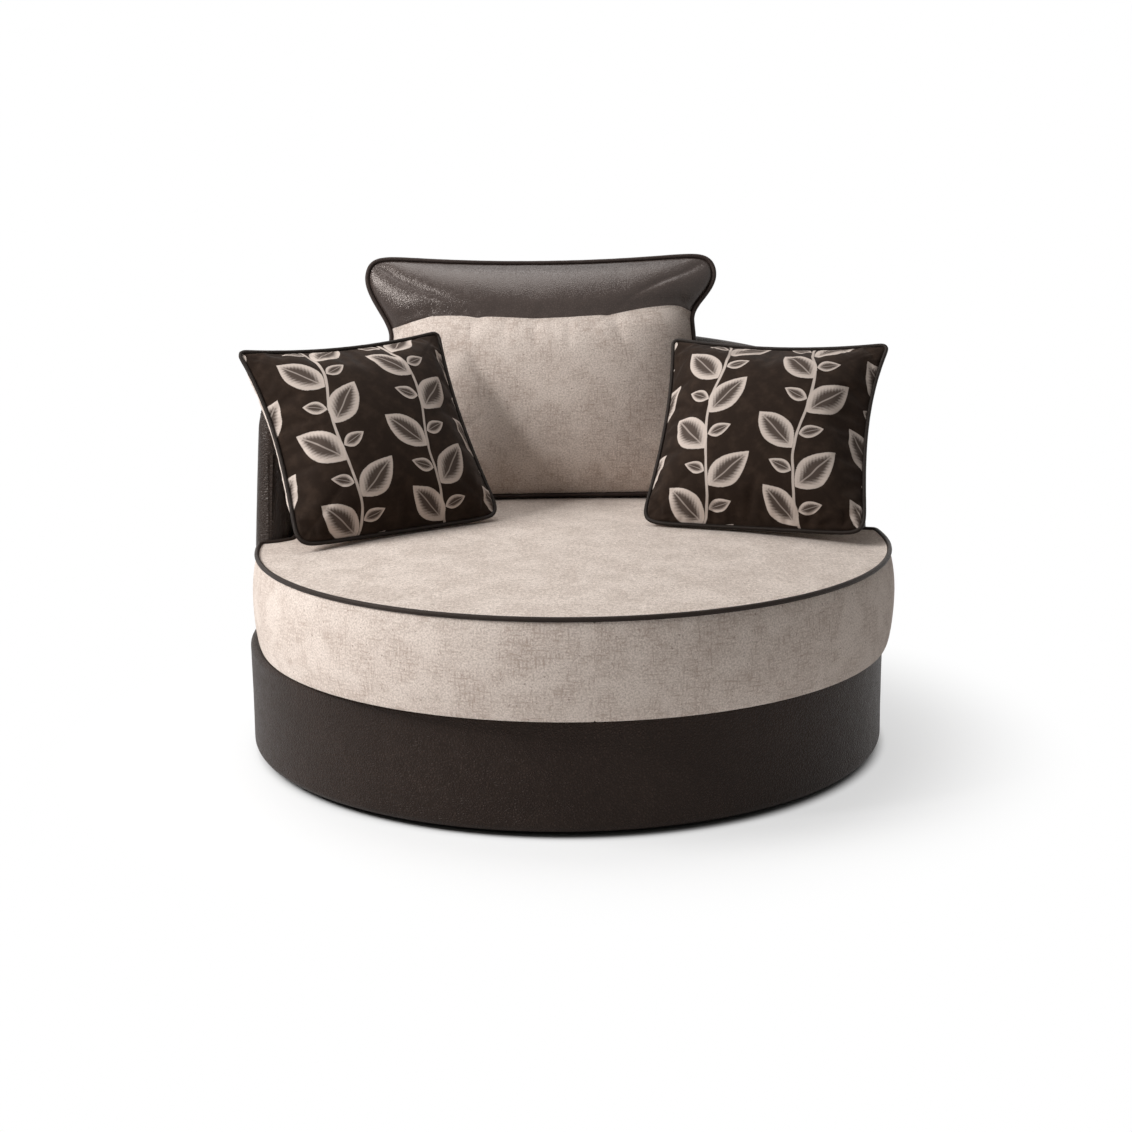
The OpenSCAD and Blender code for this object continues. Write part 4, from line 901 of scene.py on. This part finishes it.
# scatter pillows: printed face, chenille reverse, piped all round
pillow = {"width": 408.03, "height": 388.02, "full": 71.97, "draw": 11.01, "piping": 4.5, "steps": 84,
          "pinch": 34.0, "hollow": 9.0, "cord": 3.7, "beside": 3.3,
          "frontCloth": {"spare": 0.035, "cap": 10.0}, "rearCloth": {"spare": 0.03, "cap": 7.0},
          "frontGathers": {"depth": 4.2, "reach": 17.0, "pitch": 12.0},
          "rearGathers": {"depth": 3.2, "reach": 15.0, "pitch": 12.0},
          "left": {"x": -356.01, "y": 73.98, "turn": 26.5, "lean": 34.3, "roll": 1.5, "seed": 11.0,
                   "overhang": 16.0},
          "right": {"x": 376.89, "y": 32.98, "turn": -21.0, "lean": 37.6, "roll": 0.0, "seed": 23.0,
                    "overhang": 0.0}}


def pillowPlane(u, v):
    q0, q1 = roundedSquare(u, v)
    upper = np.where(q1 > 0, pillow["draw"] * (1 - q0 * q0), 0)
    return q0 * (pillow["width"] / 2 - pillow["draw"] * (1 - q1 * q1)), q1 * (pillow["height"] / 2 - upper)


def pillowOutline(side, u, v):
    # the solid's outline with its upper corners pinched and its open sides drawn in further
    draw, hollow = pillow["draw"], pillow["hollow"]
    q0, q1 = roundedSquare(u, v, 16 + pillow["pinch"] * smooth(v))
    outer = smooth(0.5 + (q0 if side == "right" else -q0))
    inward = (draw + (3 + (hollow - 3) * outer) * (1 + 0.7 * q1)) * (1 - q1 * q1)
    upper = np.where(q1 > 0, (draw + 0.5 * hollow) * (1 - q0 * q0), 0)
    return q0 * (pillow["width"] / 2 - inward), q1 * (pillow["height"] / 2 - upper)


def pillowPose(side):
    # raised until its piping rests on the seat, as the solid is
    p = pillow[side]
    x, y = pillowPlane(*np.meshgrid(eased(-1, 1, 10), eased(-1, 1, 10)))
    path = outlineOf(np.stack([x, y, 0 * x], axis=-1))
    rise = []
    for b in np.radians(60 * (np.arange(6) - 0.5)):
        ring = outsetPath(path, cushionEdge["pipeGap"] + pillow["piping"] * math.cos(b))
        ring[:, 2] = pillow["piping"] * math.sin(b)
        q = leanPlace(ring, p["turn"], p["lean"], p["roll"], (p["x"], p["y"], 0))
        rise.append(np.max(seatRest(q[:, 0], q[:, 1]) - q[:, 2]))
    return (p["turn"], p["lean"], p["roll"], (p["x"], p["y"], cushionEdge["clear"] + float(max(rise))))


def addPillow(side):
    p, pose, body, seed = pillow, pillowPose(side), side + "_pillow", pillow[side]["seed"]
    skin, u = cushionEdge["skin"], spaced(-1, 1, p["steps"], 0.35)
    u, v = np.meshgrid(u, u)
    x, y = pillowOutline(side, u, v)
    edge = rim(u.shape)
    full = p["full"] * plump(u, v)
    front = swell(np.stack([x, y, skin + 0.95 * full], axis=-1), edge, **p["frontCloth"])
    front[..., 2] -= seamGathers(front, **p["frontGathers"], seed=seed)
    front[..., 2] -= 1.6 * np.sqrt(plump(u, v)) * (1 + waves(front, 90.0, seed))
    keepDepth(front, edge, full, 0.7, 4.0, 1)
    # the reverse hangs a little over the left seam, where it shows in the photograph
    beside = np.exp(-((1 - np.abs(u)) / 0.07 - 0.93) ** 2) * (1 - v ** 6) * (u < 0) * (1 - edge)
    back = np.stack([x - p[side]["overhang"] * beside, y, -(skin + 0.95 * full)], axis=-1)
    back = swell(back[:, ::-1], edge, **p["rearCloth"])[:, ::-1]
    back[..., 2] += seamGathers(back, **p["rearGathers"], seed=seed + 3)
    keepDepth(back, edge, full, 0.75, 0.0, -1)
    gridPiece(side + "PillowFront", leanPlace(front, *pose), body, "leaf_print",
              (side + "_pillow_front", side + "_pillow_fill"))
    gridPiece(side + "PillowReverse", leanPlace(back, *pose), body, "cream_chenille",
              (side + "_pillow_reverse",), flip=True)
    pipingPiece(side + "PillowPiping", pipePath(x, y, p["beside"], pose), planeNormal(*pose[:3]), p["cord"],
                body, (side + "_pillow_piping",), trimLeather)


addPillow("left")
addPillow("right")
print("scatter pillows made")


# back shell: leather hood over a bent board frame, rolled over its top and round its front ends
shell = {"inner": 517.0, "outer": 580.0, "bottom": 205.7, "side": 636.085, "slope": 0.12, "taper": 11.0,
         "angle": 88.0, "lean": 0.2, "leanFrom": 375.0, "leanFade": 258.5, "corner": 110.12, "end": 1.5,
         "puffs": ((120.0, 2.6, 0.7), (38.0, 7.3, 0.35)), "sunk": 0.75, "puffy": 0.7, "topSeam": 1.16,
         "sideSeam": 52.0, "endSeam": 34.0}
shellMiddle = (shell["inner"] + shell["outer"]) / 2
wingArc = shellMiddle * math.radians(shell["angle"])


def wingPhi(s, z):
    back = shell["lean"] * np.maximum(0, z - shell["leanFrom"]) * np.maximum(0, 1 - s / shell["leanFade"])
    return (wingArc - s - back) / shellMiddle


def shellPoint(side, s, w):
    # w runs up the outer face (0 to 1), over the top (1 to 2) and down the inner face (2 to 3)
    full, corner, bottom = (shell["outer"] - shell["inner"]) / 2, shell["corner"], shell["bottom"]
    t = np.minimum(1, (s + shell["end"]) / full)
    half = full * np.sqrt(1 - (1 - t) ** 2)
    plane = shell["side"] + shell["slope"] * shellMiddle * np.cos(wingPhi(s, shell["side"]))
    inset = np.maximum(0, corner - s)
    rise = plane - corner + np.sqrt(np.maximum(0, corner ** 2 - inset ** 2)) - half - bottom
    level = np.where(w < 1, w, np.where(w > 2, 3 - w, 1))
    q = math.pi * np.clip(w - 1, 0, 1)
    z = bottom + rise * level + half * np.sin(q)
    r = shellMiddle + half * np.cos(q) - shell["taper"] * (1 + np.cos(q)) / 2 * (z - bottom) / rise
    phi = wingPhi(s, z)
    return np.stack([side * r * np.sin(phi), r * np.cos(phi), z], axis=-1)


def shellNormal(side, s, w):
    s = np.maximum(s, 0.6)
    across = shellPoint(side, s + 0.5, w) - shellPoint(side, s - 0.5, w)
    up = shellPoint(side, s, w + 0.004) - shellPoint(side, s, w - 0.004)
    return unit(np.cross(up, across) * side[..., None])


def bothWings(half):
    # distances from one wing's tip to the middle of the back and on to the other tip, with their side
    s = np.concatenate([half, half[-2::-1]])
    return s, np.where(np.arange(len(s)) < len(half), 1.0, -1.0)


def addShell():
    tip = -shell["end"] + 7.5 * (1 - np.cos(np.linspace(0.02, np.pi / 2, 9)))
    s, side = bothWings(np.concatenate([tip, np.linspace(8, 36, 15), np.linspace(39, 130, 34),
                                        np.linspace(136, wingArc, 118)]))
    w = np.concatenate([np.linspace(0, 1, 26), 1 + np.linspace(0, 1, 19)[1:], 2 + np.linspace(0, 1, 26)[1:]])
    grid = np.array([shellPoint(side, s, k) for k in w])
    outward = np.array([shellNormal(side, s, np.clip(k, 0.005, 2.995)) for k in w])
    puff = sum(waves(grid, size, seed) * high for size, seed, high in shell["puffs"])
    fade = np.clip(s / 30.0, 0, 1)[None, :, None]
    grid = grid - outward * (shell["sunk"] + puff[..., None] * shell["puffy"]) * fade
    up = runAlong(grid)
    uv = np.dstack([np.broadcast_to(side * (wingArc - s), up.shape), up])
    gridPiece("shellCover", grid, "chair_frame", "brown_leather", ("back_cover", "back_foam"), uv=uv,
              paint=shellLeather)


addShell()


# stitches: short rounded threads in two rows along a seam (mm)
stitchLook = {"pitch": 6.5, "long": 4.4, "thick": 0.45, "away": 3.0, "sides": 6, "sunk": 0.1, "under": 0.5,
              "shape": ((-0.5, 0.25), (-0.32, 0.9), (0.32, 0.9), (0.5, 0.25))}


def addSeam(name, runs, body):
    points, faces = [], []
    pitch, sides, shape = (stitchLook[k] for k in ("pitch", "sides", "shape"))
    ring = np.array([[math.cos(b), math.sin(b)] for b in 2 * math.pi * np.arange(sides) / sides])
    for path, normals in runs:
        length = runAlong(path)
        for at in np.arange(pitch, length[-1] - pitch, pitch):
            p = pointsAt(at, length, path)
            ahead, up = unit(pointsAt(at + 1, length, path) - p), unit(pointsAt(at, length, normals))
            across = np.cross(ahead, up)
            for side in (-1, 1):
                centre = p + across * side * stitchLook["away"]
                base = len(points)
                for f, thick in shape:
                    spot, wide = centre + ahead * f * stitchLook["long"], stitchLook["thick"] * thick
                    points += [spot + wide * (across * c + up * (d - stitchLook["sunk"])) for c, d in ring]
                for row in range(base, len(points) - sides, sides):
                    for k in range(sides):
                        n = (k + 1) % sides
                        faces.append((row + k, row + n, row + sides + n, row + sides + k))
    ob = meshFrom(name, np.array(points), faces, None, threadPaint)
    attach(ob, body)


def shellRun(side, s, w):
    out = shellNormal(side, s, w)
    return shellPoint(side, s, w) - out * stitchLook["under"], out


def addShellSeams():
    s, side = bothWings(np.linspace(30, wingArc, 120))
    runs = [shellRun(side, s, np.full(len(s), shell["topSeam"]))]
    sideSeam = wingArc - shellMiddle * math.radians(shell["sideSeam"])
    for one in (-1, 1):
        for at, top in ((sideSeam, 1.1), (shell["endSeam"], 1.0)):
            runs.append(shellRun(np.full(60, one), np.full(60, at), np.linspace(0.02, top, 60)))
    addSeam("shellStitching", runs, "chair_frame")


addShellSeams()
print("back shell made")


# drum: leather pulled round a foam wrap, turned in at the top and the bottom
drum = {"radius": 585.0, "low": 10.0, "high": 205.4, "lowEdge": 14.0, "highEdge": 9.0, "turn": 34.0,
        "rays": 360, "seams": (38.0, -38.0), "stitched": (22.0, 194.0),
        "puffs": ((160.0, 4.4, 0.9), (45.0, 9.1, 0.5)), "pulls": 0.9}


def drumProfile():
    r, e, f = drum["radius"], drum["lowEdge"], drum["highEdge"]
    bottom, top, inner = drum["low"], drum["high"], drum["radius"] - drum["turn"]
    lowTurns, highTurns = np.radians(np.linspace(-90, 0, 12)), np.radians(np.linspace(0, 90, 9))
    low = [(r - e + e * math.cos(b), bottom + e + e * math.sin(b)) for b in lowTurns]
    high = [(r - f + f * math.cos(b), top - f + f * math.sin(b)) for b in highTurns]
    side = [(r, z) for z in np.linspace(bottom + e, top - f, 22)[1:-1]]
    under, over = [(inner, bottom), (r - e - 4, bottom)], [(r - f - 8, top), (inner, top)]
    return np.array(under + low + side + high + over)


def addDrum():
    profile = drumProfile()
    a = raysRound(drum["rays"])
    grid = np.array([onRay(a, r, z) for r, z in profile])
    height = (grid[..., 2] - drum["low"]) / (drum["high"] - drum["low"])
    puff = sum(high * (0.5 + 0.5 * waves(grid, size, seed)) for size, seed, high in drum["puffs"])
    puff = puff * np.clip(4 * height * (1 - height), 0, 1)
    pulls = 0.5 + 0.5 * ripple(a * 0.55, 1.0, 5.0)
    puff = puff + drum["pulls"] * pulls * np.exp(-height * 9.0) * (height > 0.02)
    pressIn(grid, puff)
    uv = np.dstack(np.meshgrid(np.radians(a) * drum["radius"], runAlong(profile)))
    gridPiece("drumCover", grid, "chair_frame", "brown_leather", ("drum_cover", "drum_foam"), flip=True,
              uv=uv)
    z = np.linspace(*drum["stitched"], 50)
    runs = [(onRay(turn, drum["radius"] - 0.6, z), onRay(turn, 1.0, 0 * z)) for turn in drum["seams"]]
    addSeam("drumStitching", runs, "chair_frame")


addDrum()
print("drum made")

# plain cloths, stretched and stapled: the deck under the seat cushion, and the cover under the drum with
# its hole for the swivel plate (mm)
clothPiece = {
    "deckCloth": {"node": "deck_cloth", "sag": -0.45, "rests": "webbing_crosswise", "hole": False},
    "dustCover": {"node": "dust_cover", "sag": -1.6, "rests": "bottom_ring", "hole": True},
}


def addCloth(name):
    cloth = clothPiece[name]
    solid = nodes[cloth["node"]]
    at = np.array([solid.matrix_world @ v.co for v in solid.data.vertices]) * 1000.0
    reach, high = np.hypot(at[:, 0], at[:, 1]), at[:, 2]
    inner, outer = (reach.min() if cloth["hole"] else 2.0), reach.max()
    level = high.min() + 0.5 if cloth["hole"] else high.max()
    shares = eased(0, 1, 39)
    a = raysRound(180)
    grid = np.array([onRay(a, inner + (outer - inner) * k, level) for k in shares])
    fade = 4 * (shares * (1 - shares))[:, None]
    pulls = ripple(a * 0.35, 3.0, 8.0)
    uneven = 0.4 * (0.5 + 0.5 * waves(grid, 110.0, 6.6))
    grid[..., 2] += cloth["sag"] * fade * (0.6 + uneven + 0.08 * pulls)
    grid[:, -1] = grid[:, 0]
    sheet = gridPiece(name, grid, "chair_frame", "black_cloth", (cloth["node"],), flip=True, refine=0,
                      uv=grid[..., :2])
    2 * outer / 1000
    2 * outer / 1000
    math.pi * (outer ** 2 - inner ** 2) / 1e6


for name in clothPiece:
    addCloth(name)
print("deck cloth and dust cover made")
